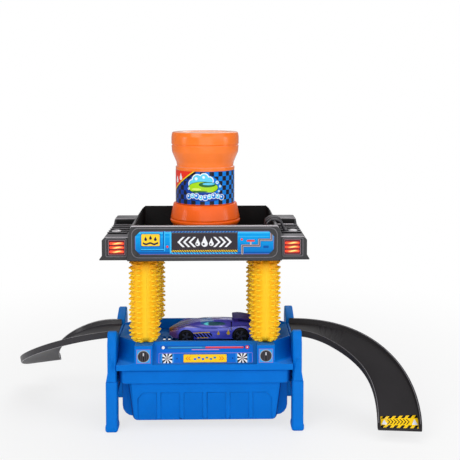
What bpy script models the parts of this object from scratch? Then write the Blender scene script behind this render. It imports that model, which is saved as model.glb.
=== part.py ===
"""Toy car wash playset: a blue deck on four plug-in legs, four spinning brush
rollers that carry a grey roof with a black water basin, an orange water jar,
a pull-out collection tray, two curved ramps and a small car.

Units are metres and +Z is up. The origin lies on the ground under the middle
of the deck. The long axis is X, the viewer stands at -Y.
"""
import math

import bmesh
import bpy
from mathutils import Matrix, Vector

# Clearances
FIT_GAP = 0.0003
RUN_GAP = 0.0005
OVERRUN = 0.004

# Lower legs, which plug into the end frames
LEG_HEIGHT = 0.0428
LEG_REACH = 0.0430
LEG_DEPTH = 0.0120
LEG_FLARE_IN = 0.0005
LEG_FLARE_OUT = 0.0016
LEG_EDGE = 0.0007
FOOT_HEIGHT = 0.0073
FOOT_FLARE = 0.0006
PLUG_HEIGHT = 0.0090
PLUG_INSET = 0.0022
LEG_HOLLOW_WALL = 0.0016
LEG_HOLLOW_DEPTH = 0.0300

# Deck, a shallow bath with walls, roller seats and scooped corners
DECK_HALF_LENGTH = 0.0734
DECK_BELOW_LEG_TOP = 0.0102
DECK_HEIGHT = 0.0210
LEDGE_HEIGHT = 0.0050
LEDGE_PROUD = 0.0025
PANEL_FOOT_INSET = 0.0030
WALL_TOP_INSET = 0.0115
WALL_THICKNESS = 0.0022
BATH_DEPTH = 0.0090
BATH_FLOOR = 0.0020
BATH_HALF_LENGTH = 0.0570
THRESHOLD_DROP = 0.0006
SKIRT_THICKNESS = 0.0020
SCOOP_STEPS = 8
DRAIN_SLOT_WIDTH = 0.0022
DRAIN_SLOT_LENGTH = 0.0150
DRAIN_SLOT_PITCH = 0.0044
DRAIN_SLOTS = 4
DRAIN_GROUP_X = 0.0300

# End frames, with a gate for a ramp between two ridges
END_FRAME_THICKNESS = 0.0074
RIDGE_RISE = 0.0100
RIDGE_FACE_RISE = 0.0008
RIDGE_INSET = 0.0037
RIDGE_WIDTH = 0.0035
GATE_SHOULDER_RISE = 0.0030
GATE_SHOULDER_RUN = 0.0016
FRAME_EDGE = 0.0008
COLLAR_HEIGHT = 0.0089
COLLAR_FLARE = 0.0011
WEB_END_HEIGHT = 0.0280
WEB_RISE = 0.0060
WEB_STEPS = 10
PANEL_RECESS = 0.0012
PANEL_MARGIN = 0.0040
CATCH_SIZE = 0.0022
CATCH_PROUD = 0.0005
CATCH_BELOW_DECK_TOP = 0.0120
RAIL_HEIGHT = 0.0024
RAIL_PROUD = 0.0027
HOOK_LENGTH = 0.0150
HOOK_DEPTH = 0.0050
HOOK_THICKNESS = 0.0014
GATE_LIP = 0.0022

# Collection tray, a drawer under the deck
TRAY_TOP_GAP = 0.0006
TRAY_SIDE_GAP = 0.0011
RIM_HEIGHT = 0.0115
RIM_STEP = 0.0024
RIM_CORNER = 0.0080
TRAY_DEPTH = 0.0422
TRAY_BODY_CORNER = 0.0090
TRAY_WALL = 0.0018
TRAY_REAR_REACH = 0.0380
TUB_FRONT_INSET = 0.0020
TUB_FRONT_DEPTH = 0.0110
TUB_SIDE_INSET = 0.0076
TUB_TAPER = 0.0055
TUB_CORNER = 0.0045
TUB_EDGE = 0.0030
TRAY_PANELS = 6
TRAY_PANEL_PITCH_SHARE = 0.3200
TRAY_PANEL_WIDTH_SHARE = 0.8135
TRAY_PANEL_HEIGHT = 0.0228
TRAY_PANEL_RECESS = 0.0008
TRAY_PANEL_CHAMFER = 0.0045

# Brush rollers and the posts that they spin on
ROLLER_X_SHARE = 0.79375
ROLLER_Y = 0.0290
ROLLER_LENGTH = 0.0703
ROLLER_CORE_RADIUS = 0.0108
ROLLER_COLLAR_RADIUS = 0.0065
PEG_LENGTH = 0.0035
PEG_ROWS = 16
PEG_COLUMNS = 12
PEG_ROW_PITCH = 0.00425
TAPER_LENGTH = 0.0080
POST_RADIUS = 0.0023
POST_PLUG = 0.0070
POST_STEPS = 12
ROLLER_END_GAP = 0.0003
SEAT_HALF_WIDTH = 0.0074

# Roof shell
ROOF_HALF_LENGTH = 0.0640
ROOF_REACH = 0.0460
ROOF_HEIGHT = 0.0293
ROOF_WALL = 0.0030
ROOF_SIDE_WALL = 0.0020
ROOF_PLATE = 0.0024
ROOF_TAPER = 0.0014
ROOF_CHAMFER_RUN = 0.0020
ROOF_CHAMFER_DROP = 0.0058
ROOF_EDGE = 0.0006
SHOWER_HALF_LENGTH = 0.0340
SHOWER_HALF_WIDTH = 0.0200
SIGN_HALF_LENGTH = 0.0577
SIGN_HEIGHT = 0.0202
SIGN_BASE = 0.0050
SIGN_CHAMFER = 0.0045
SIGN_RECESS = 0.0006
BOSS_RADIUS = 0.0052
BOSS_HEIGHT = 0.0040
WING_LENGTH = 0.0210
WING_REACH = 0.0420
WING_HEIGHT = 0.0195
WING_OVERLAP = 0.0030
WING_CHAMFER_RUN = 0.0024
WING_CHAMFER_DROP = 0.0030
WING_WALL = 0.0020
WING_LIP_EDGE = 0.0008
WING_LIP_HEIGHT = 0.0034
WING_LIP_PROUD = 0.0022
LAMP_WIDTH = 0.0154
LAMP_HEIGHT = 0.0132
LAMP_BASE = 0.0040
LAMP_INSET = 0.0038
LAMP_RECESS = 0.0006
BLOWER_LENGTH = 0.0165
BLOWER_DEPTH = 0.0200
BLOWER_RISE = 0.0043
BLOWER_INSET = 0.0024
BLOWER_EDGE = 0.0014
VENT_SLOTS = 5
VENT_SLOT_WIDTH = 0.0014
VENT_SLOT_PITCH = 0.0030
VENT_SLOT_LENGTH = 0.0120
VENT_DEPTH = 0.0010

# Water basin
BASIN_WALL = 0.0016
BASIN_FLOOR = 0.0020
BASIN_REAR_RISE = 0.0020
BASIN_DROP = 0.0004
BASIN_CORNER = 0.0040
BASIN_CHAMFER = 0.0030
SEAT_RING_RADIUS = 0.0270
SEAT_RING_WALL = 0.0020
SEAT_RING_HEIGHT = 0.0113
SEAT_RING_NOTCH = 0.0060
SEAT_RING_NOTCH_HEIGHT = 0.0030
SEAT_RING_STEPS = 24
SHOWER_HOLE_RADIUS = 0.0013
SHOWER_COLUMNS = 5
SHOWER_ROWS = 3
SHOWER_PITCH = 0.0080
SHOWER_HOLE_STEPS = 6

# Water jar and its screw cap
JAR_STEPS = 24
JAR_HEIGHT = 0.0845
CAP_HEIGHT = 0.0225
CAP_FOOT_RADIUS = 0.0286
CAP_WIDE_RADIUS = 0.0306
CAP_NECK_RADIUS = 0.0262
CAP_FOOT_HEIGHT = 0.0060
CAP_FOOT_EDGE = 0.0012
CAP_FLARE_STEPS = 5
CAP_FOOT_WALL = 0.0030
CAP_DISC = 0.0024
CAP_DISC_RISE = 0.0030
JAR_WAIST_RADIUS = 0.0252
JAR_SHOULDER_RADIUS = 0.0286
JAR_TOP_EDGE = 0.0014
JAR_WAIST_HEIGHT = 0.0280
JAR_FLARE_HEIGHT = 0.0130
JAR_FLARE_STEPS = 6
JAR_WALL = 0.0018
JAR_GROOVE = 0.0007
JAR_GROOVE_DROP = 0.0080
JAR_GROOVE_WIDTH = 0.0024
NECK_RADIUS = 0.0205
NECK_WALL = 0.0018
NECK_LENGTH = 0.0110
SEAL_HEIGHT = 0.0016
SEAL_WIDTH = 0.0030
DRIP_HOLES = 8
DRIP_RING_RADIUS = 0.0110
DRIP_HOLE_RADIUS = 0.0014

# Ramps, channels with one plan that fall and bank in their own way. Turn shares are of a
# right angle, for powers 1 to 3 of the place along the run; fall shares are of the fall, for
# powers 2 to 4. The bank lifts the outer wall at mid run, and the tilt lifts it to the end.
RAMP_HALF_WIDTH = 0.0179
RAMP_HEIGHT = 0.0057
RAMP_WALL = 0.0013
RAMP_FLOOR = 0.0012
RAMP_LEAD = 0.0010
RAMP_RUN = 0.1192
RAMP_TURN_SHARES = (0.253, 1.110, -0.251)
ENTRANCE_FALL = 0.0615
ENTRANCE_FALL_SHARES = (1.259, -1.062, 0.803)
ENTRANCE_BANK = 0.0036
ENTRANCE_TILT = 0.0006
EXIT_FALL = 0.0498
EXIT_FALL_SHARES = (1.451, -0.011, -0.440)
EXIT_BANK = 0.0015
EXIT_TILT = -0.0032
RAMP_SPANS = 26

# Hose draped over the basin's wall
HOSE_RADIUS = 0.0011
HOSE_STRANDS = 3
HOSE_PITCH = 0.0046
HOSE_INSIDE_DROP = 0.0045
HOSE_OUTSIDE_RUN = 0.0058
HOSE_START_Y = -0.0060
HOSE_CLEAR = 0.0004
HOSE_TURN_STEPS = 2

# Toy car
CAR_LENGTH = 0.0757
CAR_NOSE_X = -0.0317
CAR_HALF_WIDTH = 0.0141
CAR_HEIGHT = 0.0180
CAR_CLEARANCE = 0.0030
CHASSIS_HEIGHT = 0.0055
CHASSIS_HALF_WIDTH = 0.0078
CHASSIS_INSET = 0.0060
FRONT_WHEEL_SHARE = 0.1995
REAR_WHEEL_SHARE = 0.8269
FRONT_WHEEL_RADIUS = 0.0061
REAR_WHEEL_RADIUS = 0.0069
WHEEL_WIDTH = 0.0042
WHEEL_STEPS = 16
WHEEL_ARCH_GAP = 0.0007
AXLE_RADIUS = 0.0008
AXLE_BORE_GAP = 0.0003
HUB_DEPTH = 0.0008
HUB_SHARE = 0.66
SPOILER_SPAN = 0.0236
SPOILER_CHORD = 0.0100
SPOILER_THICKNESS = 0.0014
SPOILER_RISE = 0.0233
SPOILER_BACK_SHARE = 0.9908
STRUT_WIDTH = 0.0014
STRUT_LENGTH = 0.0050
STRUT_Y = 0.0066
STRUT_SEAT_RISE = 0.0110
CANOPY_LENGTH_SHARE = 0.4360
CANOPY_WIDTH = 0.0152
CANOPY_HEIGHT = 0.0052
CANOPY_MIDDLE_SHARE = 0.5284
CANOPY_BASE_RISE = 0.0120
CANOPY_STEPS = 16

# Colours as (red, green, blue), roughness and metallic value
BLUE_PLASTIC = ((0.0, 0.17, 0.72), 0.38, 0.0)
TRAY_PLASTIC = ((0.0, 0.15, 0.68), 0.36, 0.0)
ROOF_PLASTIC = ((0.075, 0.075, 0.085), 0.45, 0.0)
BASIN_PLASTIC = ((0.012, 0.012, 0.013), 0.5, 0.0)
RAMP_PLASTIC = ((0.022, 0.022, 0.024), 0.42, 0.0)
ROLLER_RUBBER = ((1.0, 0.48, 0.02), 0.5, 0.0)
POST_PLASTIC = ((0.5, 0.3, 0.02), 0.4, 0.0)
HOSE_PLASTIC = ((0.03, 0.03, 0.033), 0.4, 0.0)
JAR_PLASTIC = ((1.0, 0.2, 0.03), 0.35, 0.0)
CAP_PLASTIC = ((0.95, 0.12, 0.02), 0.38, 0.0)
SEAL_RUBBER = ((0.05, 0.05, 0.05), 0.7, 0.0)
CAR_PAINT = ((0.09, 0.07, 0.5), 0.25, 0.4)
CAR_GLASS = ((0.02, 0.32, 0.36), 0.1, 0.0)
CHASSIS_PLASTIC = ((0.02, 0.02, 0.022), 0.5, 0.0)
TYRE_PLASTIC = ((0.01, 0.01, 0.01), 0.45, 0.0)
AXLE_STEEL = ((0.6, 0.6, 0.62), 0.3, 1.0)

# Stations along Z, from the ground up
DECK_BOTTOM = LEG_HEIGHT + DECK_BELOW_LEG_TOP
DECK_TOP = DECK_BOTTOM + DECK_HEIGHT
LEDGE_TOP = DECK_BOTTOM + LEDGE_HEIGHT
BATH_TOP = DECK_TOP - BATH_DEPTH
BATH_UNDERSIDE = BATH_TOP - BATH_FLOOR
THRESHOLD_TOP = DECK_TOP - THRESHOLD_DROP
RAMP_BOTTOM = THRESHOLD_TOP + FIT_GAP - RAMP_FLOOR
GATE_SEAT_TOP = RAMP_BOTTOM - RUN_GAP
RIDGE_TOP = DECK_TOP + RIDGE_RISE
RIM_TOP = DECK_BOTTOM - TRAY_TOP_GAP
RIM_BOTTOM = RIM_TOP - RIM_HEIGHT
TRAY_BOTTOM = RIM_TOP - TRAY_DEPTH
RAIL_TOP = RIM_BOTTOM - FIT_GAP
ROLLER_BOTTOM = DECK_TOP + ROLLER_END_GAP
ROLLER_TOP = ROLLER_BOTTOM + ROLLER_LENGTH
ROOF_BOTTOM = ROLLER_TOP + ROLLER_END_GAP
ROOF_TOP = ROOF_BOTTOM + ROOF_HEIGHT
ROOF_PLATE_TOP = ROOF_BOTTOM + ROOF_PLATE
BOSS_TOP = ROOF_PLATE_TOP + BOSS_HEIGHT
WING_TOP = ROOF_BOTTOM + WING_HEIGHT
BASIN_BOTTOM = BOSS_TOP + FIT_GAP
BASIN_FLOOR_TOP = BASIN_BOTTOM + BASIN_FLOOR
SEAT_RING_TOP = BASIN_FLOOR_TOP + SEAT_RING_HEIGHT
JAR_BOTTOM = SEAT_RING_TOP + FIT_GAP
JAR_TOP = JAR_BOTTOM + JAR_HEIGHT
CAP_TOP = JAR_BOTTOM + CAP_HEIGHT
CAP_DISC_TOP = JAR_BOTTOM + CAP_DISC_RISE + CAP_DISC
JAR_BODY_BOTTOM = CAP_TOP + FIT_GAP
NECK_BOTTOM = JAR_BODY_BOTTOM - NECK_LENGTH
SEAL_TOP = NECK_BOTTOM - FIT_GAP

# Stations along X and Y, outwards from the middle
FRAME_INNER_X = DECK_HALF_LENGTH + FIT_GAP
FRAME_OUTER_X = FRAME_INNER_X + END_FRAME_THICKNESS
LEG_INNER_X = FRAME_INNER_X - LEG_FLARE_IN
LEG_OUTER_X = FRAME_OUTER_X + LEG_FLARE_OUT
LEG_BACK_REACH = LEG_REACH - LEG_DEPTH
WEB_REACH = LEG_BACK_REACH - LEG_FLARE_IN - FIT_GAP
LEDGE_REACH = LEG_REACH + LEDGE_PROUD
PANEL_FOOT_REACH = LEDGE_REACH - PANEL_FOOT_INSET
WALL_TOP_REACH = LEDGE_REACH - WALL_TOP_INSET
BATH_HALF_WIDTH = WALL_TOP_REACH - WALL_THICKNESS
TUB_TOP_HALF = DECK_HALF_LENGTH - TUB_SIDE_INSET
TUB_BOTTOM_HALF = TUB_TOP_HALF - TUB_TAPER
TRAY_PANEL_PITCH = TUB_BOTTOM_HALF * TRAY_PANEL_PITCH_SHARE
GATE_HALF_WIDTH = RAMP_HALF_WIDTH + RUN_GAP
RAMP_START_X = FRAME_INNER_X + GATE_LIP + FIT_GAP
RAMP_BEND_X = RAMP_START_X + RAMP_LEAD
RAMP_SHAPES = {
    1: (ENTRANCE_FALL, ENTRANCE_FALL_SHARES, ENTRANCE_BANK, ENTRANCE_TILT),
    -1: (EXIT_FALL, EXIT_FALL_SHARES, EXIT_BANK, EXIT_TILT),
}
RIM_HALF_LENGTH = FRAME_INNER_X - TRAY_SIDE_GAP
TRAY_BODY_HALF = RIM_HALF_LENGTH - RIM_STEP
ROOF_SHOULDER_X = ROOF_HALF_LENGTH - ROOF_TAPER
ROOF_INNER_X = ROOF_SHOULDER_X - ROOF_CHAMFER_RUN - ROOF_SIDE_WALL
ROOF_INNER_Y = ROOF_REACH - ROOF_WALL
BASIN_HALF_LENGTH = ROOF_INNER_X - FIT_GAP
BASIN_REACH = ROOF_INNER_Y - FIT_GAP
WING_OUTER_X = ROOF_HALF_LENGTH + WING_LENGTH
PEG_TIP_RADIUS = ROLLER_CORE_RADIUS + PEG_LENGTH
ROLLER_BORE_RADIUS = POST_RADIUS + RUN_GAP
ROLLER_X = ROOF_HALF_LENGTH * ROLLER_X_SHARE
SEAT_EDGE_X = ROLLER_X + SEAT_HALF_WIDTH
CAR_BOTTOM = BATH_TOP + CAR_CLEARANCE
CAR_FRONT_AXLE = (CAR_NOSE_X + CAR_LENGTH * FRONT_WHEEL_SHARE, BATH_TOP + FRONT_WHEEL_RADIUS)
CAR_REAR_AXLE = (CAR_NOSE_X + CAR_LENGTH * REAR_WHEEL_SHARE, BATH_TOP + REAR_WHEEL_RADIUS)
CANOPY_MIDDLE_X = CAR_NOSE_X + CAR_LENGTH * CANOPY_MIDDLE_SHARE
SPOILER_BACK_X = CAR_NOSE_X + CAR_LENGTH * SPOILER_BACK_SHARE

CORNER_STEPS = 4
MERGE_DISTANCE = 0.000001
FLAT_ANGLE = math.radians(0.2)
PARTS_NAME = "toy_car_wash"
CUTTERS_NAME = "cutters"
MANIFOLD_TARGETS = ("end_frame", "jar_cap")


def clear_scene():
    """Empty the file of the objects that it starts with."""
    for obj in list(bpy.data.objects):
        bpy.data.objects.remove(obj, do_unlink=True)


def collection(name):
    """Find or make a collection of the scene."""
    found = bpy.data.collections.get(name)
    if found is None:
        found = bpy.data.collections.new(name)
        bpy.context.scene.collection.children.link(found)
    return found


def material(name, finish):
    """Principled material from a (colour, roughness, metallic) finish."""
    found = bpy.data.materials.get(name)
    if found is None:
        colour, roughness, metallic = finish
        found = bpy.data.materials.new(name)
        found.use_nodes = True
        shader = found.node_tree.nodes["Principled BSDF"]
        shader.inputs["Base Color"].default_value = (*colour, 1.0)
        shader.inputs["Roughness"].default_value = roughness
        shader.inputs["Metallic"].default_value = metallic
    return found


def shape(name, mesh):
    """Object for a mesh, in the collection of parts."""
    obj = bpy.data.objects.new(name, mesh)
    collection(PARTS_NAME).objects.link(obj)
    return obj


def finish(obj, material_name, look):
    """Give a part its material and smooth round faces."""
    obj.data.materials.clear()
    obj.data.materials.append(material(material_name, look))
    obj.data.shade_smooth()
    obj.data.set_sharp_from_angle(angle=math.radians(35.0))
    return obj


def as_cutter(obj):
    """Move a helper shape out of the parts."""
    collection(PARTS_NAME).objects.unlink(obj)
    collection(CUTTERS_NAME).objects.link(obj)
    obj.hide_render = True
    obj.display_type = "WIRE"


def combine(target, operation, others):
    """Boolean each helper shape into the target.

    EXACT leaves open slivers in the few targets named above, whose faces share
    planes after a bevel or a turn, so those use MANIFOLD.
    """
    solver = "MANIFOLD" if target.name.startswith(MANIFOLD_TARGETS) else "EXACT"
    for other in others:
        modifier = target.modifiers.new(other.name, "BOOLEAN")
        modifier.operation = operation
        modifier.solver = solver
        modifier.object = other
        as_cutter(other)
    return target


def cut(target, *cutters):
    """Take the cutters away from the target."""
    return combine(target, "DIFFERENCE", cutters)


def join(target, *others):
    """Fuse the others to the target."""
    return combine(target, "UNION", others)


def bevel(obj, width, segments=1, angle=40.0):
    """Round or chamfer the edges sharper than the angle."""
    modifier = obj.modifiers.new("edges", "BEVEL")
    modifier.width = width
    modifier.segments = segments
    modifier.limit_method = "ANGLE"
    modifier.angle_limit = math.radians(angle)
    modifier.use_clamp_overlap = True
    return obj


def mesh_of(work, name):
    """Turn a bmesh into a mesh with its faces pointing out."""
    bmesh.ops.recalc_face_normals(work, faces=work.faces)
    mesh = bpy.data.meshes.new(name)
    work.to_mesh(mesh)
    work.free()
    return mesh


def box(name, low, high):
    """Block between two corners."""
    return tapered_box(name, low, high, 0.0, 0.0)


def tapered_box(name, low, high, inset_x, inset_y):
    """Block whose top is drawn in by an inset on each side."""
    low = Vector(low)
    high = Vector(high)
    work = bmesh.new()
    bmesh.ops.create_cube(work, size=1.0)
    for vert in work.verts:
        top = vert.co.z > 0
        sign_x = math.copysign(1.0, vert.co.x)
        sign_y = math.copysign(1.0, vert.co.y)
        vert.co.x = high.x if sign_x > 0 else low.x
        vert.co.y = high.y if sign_y > 0 else low.y
        vert.co.z = high.z if top else low.z
        if top:
            vert.co.x -= sign_x * inset_x
            vert.co.y -= sign_y * inset_y
    return shape(name, mesh_of(work, name))


AXIS_TURNS = {
    "X": Matrix(((0, 0, 1), (1, 0, 0), (0, 1, 0))).to_4x4(),
    "Y": Matrix(((1, 0, 0), (0, 0, -1), (0, 1, 0))).to_4x4(),
    "Z": Matrix.Identity(4),
}


def prism(name, outline, axis, start, stop):
    """Extrude a flat outline along an axis, from start to stop.

    The outline holds (y, z) points for X, (x, z) for Y and (x, y) for Z.
    """
    low, high = sorted((start, stop))
    curve = bpy.data.curves.new(name, "CURVE")
    curve.dimensions = "2D"
    curve.fill_mode = "BOTH"
    curve.extrude = (high - low) / 2
    spline = curve.splines.new("POLY")
    spline.points.add(len(outline) - 1)
    for point, (across, up) in zip(spline.points, outline):
        point.co = (across, up, 0.0, 1.0)
    spline.use_cyclic_u = True
    source = shape(name, curve)
    turn = AXIS_TURNS[axis]
    middle = (low + high) / 2
    slide = {"X": (middle, 0, 0), "Y": (0, middle, 0), "Z": (0, 0, middle)}[axis]
    source.matrix_world = Matrix.Translation(slide) @ turn
    return curve_to_part(source)


def curve_to_part(source):
    """Replace a curve object with a welded mesh object, its flat faces made whole."""
    bpy.context.view_layer.update()
    depsgraph = bpy.context.evaluated_depsgraph_get()
    name = source.name
    mesh = bpy.data.meshes.new_from_object(source.evaluated_get(depsgraph))
    work = bmesh.new()
    work.from_mesh(mesh)
    bmesh.ops.transform(work, matrix=source.matrix_world, verts=work.verts)
    bmesh.ops.remove_doubles(work, verts=work.verts, dist=MERGE_DISTANCE)
    bmesh.ops.dissolve_limit(work, angle_limit=FLAT_ANGLE, verts=work.verts, edges=work.edges)
    bpy.data.meshes.remove(mesh)
    bpy.data.objects.remove(source, do_unlink=True)
    return shape(name, mesh_of(work, name))


def cylinder(name, centre, radius, low, high, axis="Z", steps=POST_STEPS):
    """Closed cylinder; the centre is given in the plane across the axis."""
    work = bmesh.new()
    bmesh.ops.create_cone(
        work, cap_ends=True, segments=steps, radius1=radius, radius2=radius, depth=high - low
    )
    middle = (low + high) / 2
    across, up = centre
    place = {
        "X": (middle, across, up),
        "Y": (across, middle, up),
        "Z": (across, up, middle),
    }[axis]
    matrix = Matrix.Translation(place) @ AXIS_TURNS[axis]
    bmesh.ops.transform(work, matrix=matrix, verts=work.verts)
    return shape(name, mesh_of(work, name))


def turned(name, profile, steps, centre=(0.0, 0.0)):
    """Turn a closed (radius, height) profile about a vertical axis.

    The profile runs down its outer side and back up its inner side.
    """
    mesh = bpy.data.meshes.new(name)
    on_axis = profile[0][0] == 0 and profile[-1][0] == 0
    edges = [(index, index + 1) for index in range(len(profile) - 1)]
    if not on_axis:
        edges.append((len(profile) - 1, 0))
    mesh.from_pydata([(radius, 0.0, height) for radius, height in profile], edges, [])
    obj = shape(name, mesh)
    obj.location = (centre[0], centre[1], 0.0)
    screw = obj.modifiers.new("turn", "SCREW")
    screw.axis = "Z"
    screw.angle = math.tau
    screw.steps = steps
    screw.render_steps = steps
    screw.use_merge_vertices = True
    screw.merge_threshold = MERGE_DISTANCE
    screw.use_smooth_shade = True
    return obj


def rounded(corners, steps=CORNER_STEPS):
    """Outline of straight runs, with a fillet at each (x, y, radius) corner."""
    points = []
    for index, (x, y, radius) in enumerate(corners):
        corner = Vector((x, y))
        if radius == 0:
            points.append((x, y))
            continue
        before = Vector(corners[index - 1][:2]) - corner
        after = Vector(corners[(index + 1) % len(corners)][:2]) - corner
        before.normalize()
        after.normalize()
        half_angle = before.angle(after) / 2
        centre = corner + (before + after).normalized() * radius / math.sin(half_angle)
        run = radius / math.tan(half_angle)
        first = corner + before * run - centre
        last = corner + after * run - centre
        start = math.atan2(first.y, first.x)
        sweep = math.atan2(last.y, last.x) - start
        sweep = (sweep + math.pi) % math.tau - math.pi
        for step in range(steps + 1):
            turn = start + sweep * step / steps
            points.append((centre.x + radius * math.cos(turn), centre.y + radius * math.sin(turn)))
    return points


def rectangle(low_x, low_y, high_x, high_y, radius=0.0):
    """Rectangle outline with round corners."""
    corners = ((low_x, low_y), (high_x, low_y), (high_x, high_y), (low_x, high_y))
    return rounded([(x, y, radius) for x, y in corners])


def mirrored(points):
    """Close a half outline, from its low end to its high end, about zero."""
    return list(points) + [(-across, up) for across, up in reversed(points)]


def side_name(side):
    """Left for -X and right for +X."""
    return "left" if side < 0 else "right"


def depth_name(depth):
    """Front for -Y and rear for +Y."""
    return "front" if depth < 0 else "rear"


SIDES = (-1, 1)
CORNERS = [(side, depth) for side in SIDES for depth in SIDES]


def spread(side, near, far):
    """Order two distances from the middle on the left or right side."""
    return tuple(sorted((side * near, side * far)))


def lower_leg(side, depth):
    """Plug-in leg with a flared foot and a plug for the end frame's socket."""
    name = f"leg_{depth_name(depth)}_{side_name(side)}"
    low_x, high_x = spread(side, LEG_INNER_X, LEG_OUTER_X)
    low_y, high_y = spread(depth, LEG_BACK_REACH - LEG_FLARE_IN, LEG_REACH + LEG_FLARE_IN)
    leg = box(name, (low_x, low_y, 0.0), (high_x, high_y, LEG_HEIGHT))
    bevel(leg, LEG_EDGE)
    foot = tapered_box(
        f"{name}_foot",
        (low_x - FOOT_FLARE, low_y - FOOT_FLARE, 0.0),
        (high_x + FOOT_FLARE, high_y + FOOT_FLARE, FOOT_HEIGHT),
        FOOT_FLARE / 2,
        FOOT_FLARE / 2,
    )
    bevel(foot, LEG_EDGE)
    plug_low_x, plug_high_x = spread(side, FRAME_INNER_X + PLUG_INSET, FRAME_OUTER_X - PLUG_INSET)
    plug_low_y, plug_high_y = spread(depth, LEG_BACK_REACH + PLUG_INSET, LEG_REACH - PLUG_INSET)
    plug = box(
        f"{name}_plug",
        (plug_low_x, plug_low_y, LEG_HEIGHT / 2),
        (plug_high_x, plug_high_y, LEG_HEIGHT + PLUG_HEIGHT),
    )
    hollow = box(
        f"{name}_hollow",
        (low_x + LEG_HOLLOW_WALL, low_y + LEG_HOLLOW_WALL, -OVERRUN),
        (high_x - LEG_HOLLOW_WALL, high_y - LEG_HOLLOW_WALL, LEG_HOLLOW_DEPTH),
    )
    join(leg, foot, plug)
    cut(leg, hollow)
    return finish(leg, "blue_plastic", BLUE_PLASTIC)


def frame_outline():
    """Half outline of an end frame in (y, z), from the web to the gate."""
    ridge_outer = LEG_REACH - RIDGE_INSET
    ridge_inner = ridge_outer - RIDGE_WIDTH
    leg_bottom = LEG_HEIGHT + FIT_GAP + FIT_GAP
    points = []
    for step in range(WEB_STEPS + 1):
        share = step / WEB_STEPS
        points.append((WEB_REACH * share, WEB_END_HEIGHT + WEB_RISE * math.cos(share * math.pi / 2)))
    points.append((WEB_REACH, leg_bottom))
    points.append((LEG_REACH, leg_bottom))
    points.append((LEG_REACH, DECK_TOP + RIDGE_FACE_RISE))
    points.append((ridge_outer, RIDGE_TOP))
    points.append((ridge_inner, RIDGE_TOP))
    points.append((GATE_HALF_WIDTH + GATE_SHOULDER_RUN, DECK_TOP + GATE_SHOULDER_RISE))
    points.append((GATE_HALF_WIDTH, THRESHOLD_TOP))
    return points


def end_frame(side):
    """End wall: upper legs, ridges, gate for a ramp and a runner for the tray."""
    name = f"end_frame_{side_name(side)}"
    low_x, high_x = spread(side, FRAME_INNER_X, FRAME_OUTER_X)
    half = frame_outline()
    outline = half + [(-y, z) for y, z in reversed(half[1:])]
    frame = prism(name, outline, "X", low_x, high_x)
    bevel(frame, FRAME_EDGE)
    seat_low, seat_high = spread(side, FRAME_INNER_X + GATE_LIP, FRAME_OUTER_X + OVERRUN)
    seat_half = GATE_HALF_WIDTH + FIT_GAP
    seat = box(
        f"{name}_seat",
        (seat_low, -seat_half, GATE_SEAT_TOP),
        (seat_high, seat_half, DECK_TOP + OVERRUN),
    )
    cut(frame, seat)
    rail_low, rail_high = spread(side, FRAME_INNER_X - RAIL_PROUD, FRAME_INNER_X + RAIL_PROUD)
    rail = box(
        f"{name}_rail",
        (rail_low, RAIL_HEIGHT - WEB_REACH, RAIL_TOP - RAIL_HEIGHT),
        (rail_high, WEB_REACH - RAIL_HEIGHT, RAIL_TOP),
    )
    join(frame, rail)
    panel_low, panel_high = spread(side, FRAME_OUTER_X - PANEL_RECESS, FRAME_OUTER_X + OVERRUN)
    panel_reach = LEG_BACK_REACH - PANEL_MARGIN
    panel = prism(
        f"{name}_panel",
        rectangle(
            -panel_reach,
            WEB_END_HEIGHT + WEB_RISE + PANEL_MARGIN,
            panel_reach,
            GATE_SEAT_TOP - PANEL_MARGIN,
            PANEL_MARGIN,
        ),
        "X",
        panel_low,
        panel_high,
    )
    cut(frame, panel)
    for depth in SIDES:
        add_leg_socket(frame, name, side, depth)
    slot_low, slot_high = hook_span(side, FIT_GAP)
    slot = box(
        f"{name}_hook_slot",
        (slot_low, -HOOK_LENGTH / 2 - FIT_GAP, GATE_SEAT_TOP - HOOK_DEPTH - FIT_GAP),
        (slot_high, HOOK_LENGTH / 2 + FIT_GAP, GATE_SEAT_TOP + OVERRUN),
    )
    cut(frame, slot)
    return finish(frame, "blue_plastic", BLUE_PLASTIC)


def add_leg_socket(frame, name, side, depth):
    """Flared collar, socket for the lower leg's plug, and a small catch."""
    label = f"{name}_{depth_name(depth)}"
    low_x, high_x = spread(side, FRAME_INNER_X + FIT_GAP, FRAME_OUTER_X + COLLAR_FLARE)
    low_y, high_y = spread(depth, LEG_BACK_REACH, LEG_REACH + LEG_FLARE_IN)
    collar = tapered_box(
        f"{label}_collar",
        (low_x, low_y, LEG_HEIGHT + FIT_GAP),
        (high_x, high_y, LEG_HEIGHT + COLLAR_HEIGHT),
        COLLAR_FLARE + FIT_GAP,
        LEG_FLARE_IN + FIT_GAP,
    )
    socket_low_x, socket_high_x = spread(
        side, FRAME_INNER_X + PLUG_INSET - FIT_GAP, FRAME_OUTER_X - PLUG_INSET + FIT_GAP
    )
    socket_low_y, socket_high_y = spread(
        depth, LEG_BACK_REACH + PLUG_INSET - FIT_GAP, LEG_REACH - PLUG_INSET + FIT_GAP
    )
    socket = box(
        f"{label}_socket",
        (socket_low_x, socket_low_y, LEG_HEIGHT - OVERRUN),
        (socket_high_x, socket_high_y, LEG_HEIGHT + PLUG_HEIGHT + FIT_GAP),
    )
    middle = side * (FRAME_INNER_X + FRAME_OUTER_X) / 2
    catch_low_y, catch_high_y = spread(depth, LEG_REACH - CATCH_SIZE, LEG_REACH + CATCH_PROUD)
    catch_top = DECK_TOP - CATCH_BELOW_DECK_TOP
    catch = box(
        f"{label}_catch",
        (middle - CATCH_SIZE / 2, catch_low_y, catch_top - CATCH_SIZE),
        (middle + CATCH_SIZE / 2, catch_high_y, catch_top),
    )
    join(frame, collar, catch)
    cut(frame, socket)


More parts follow.
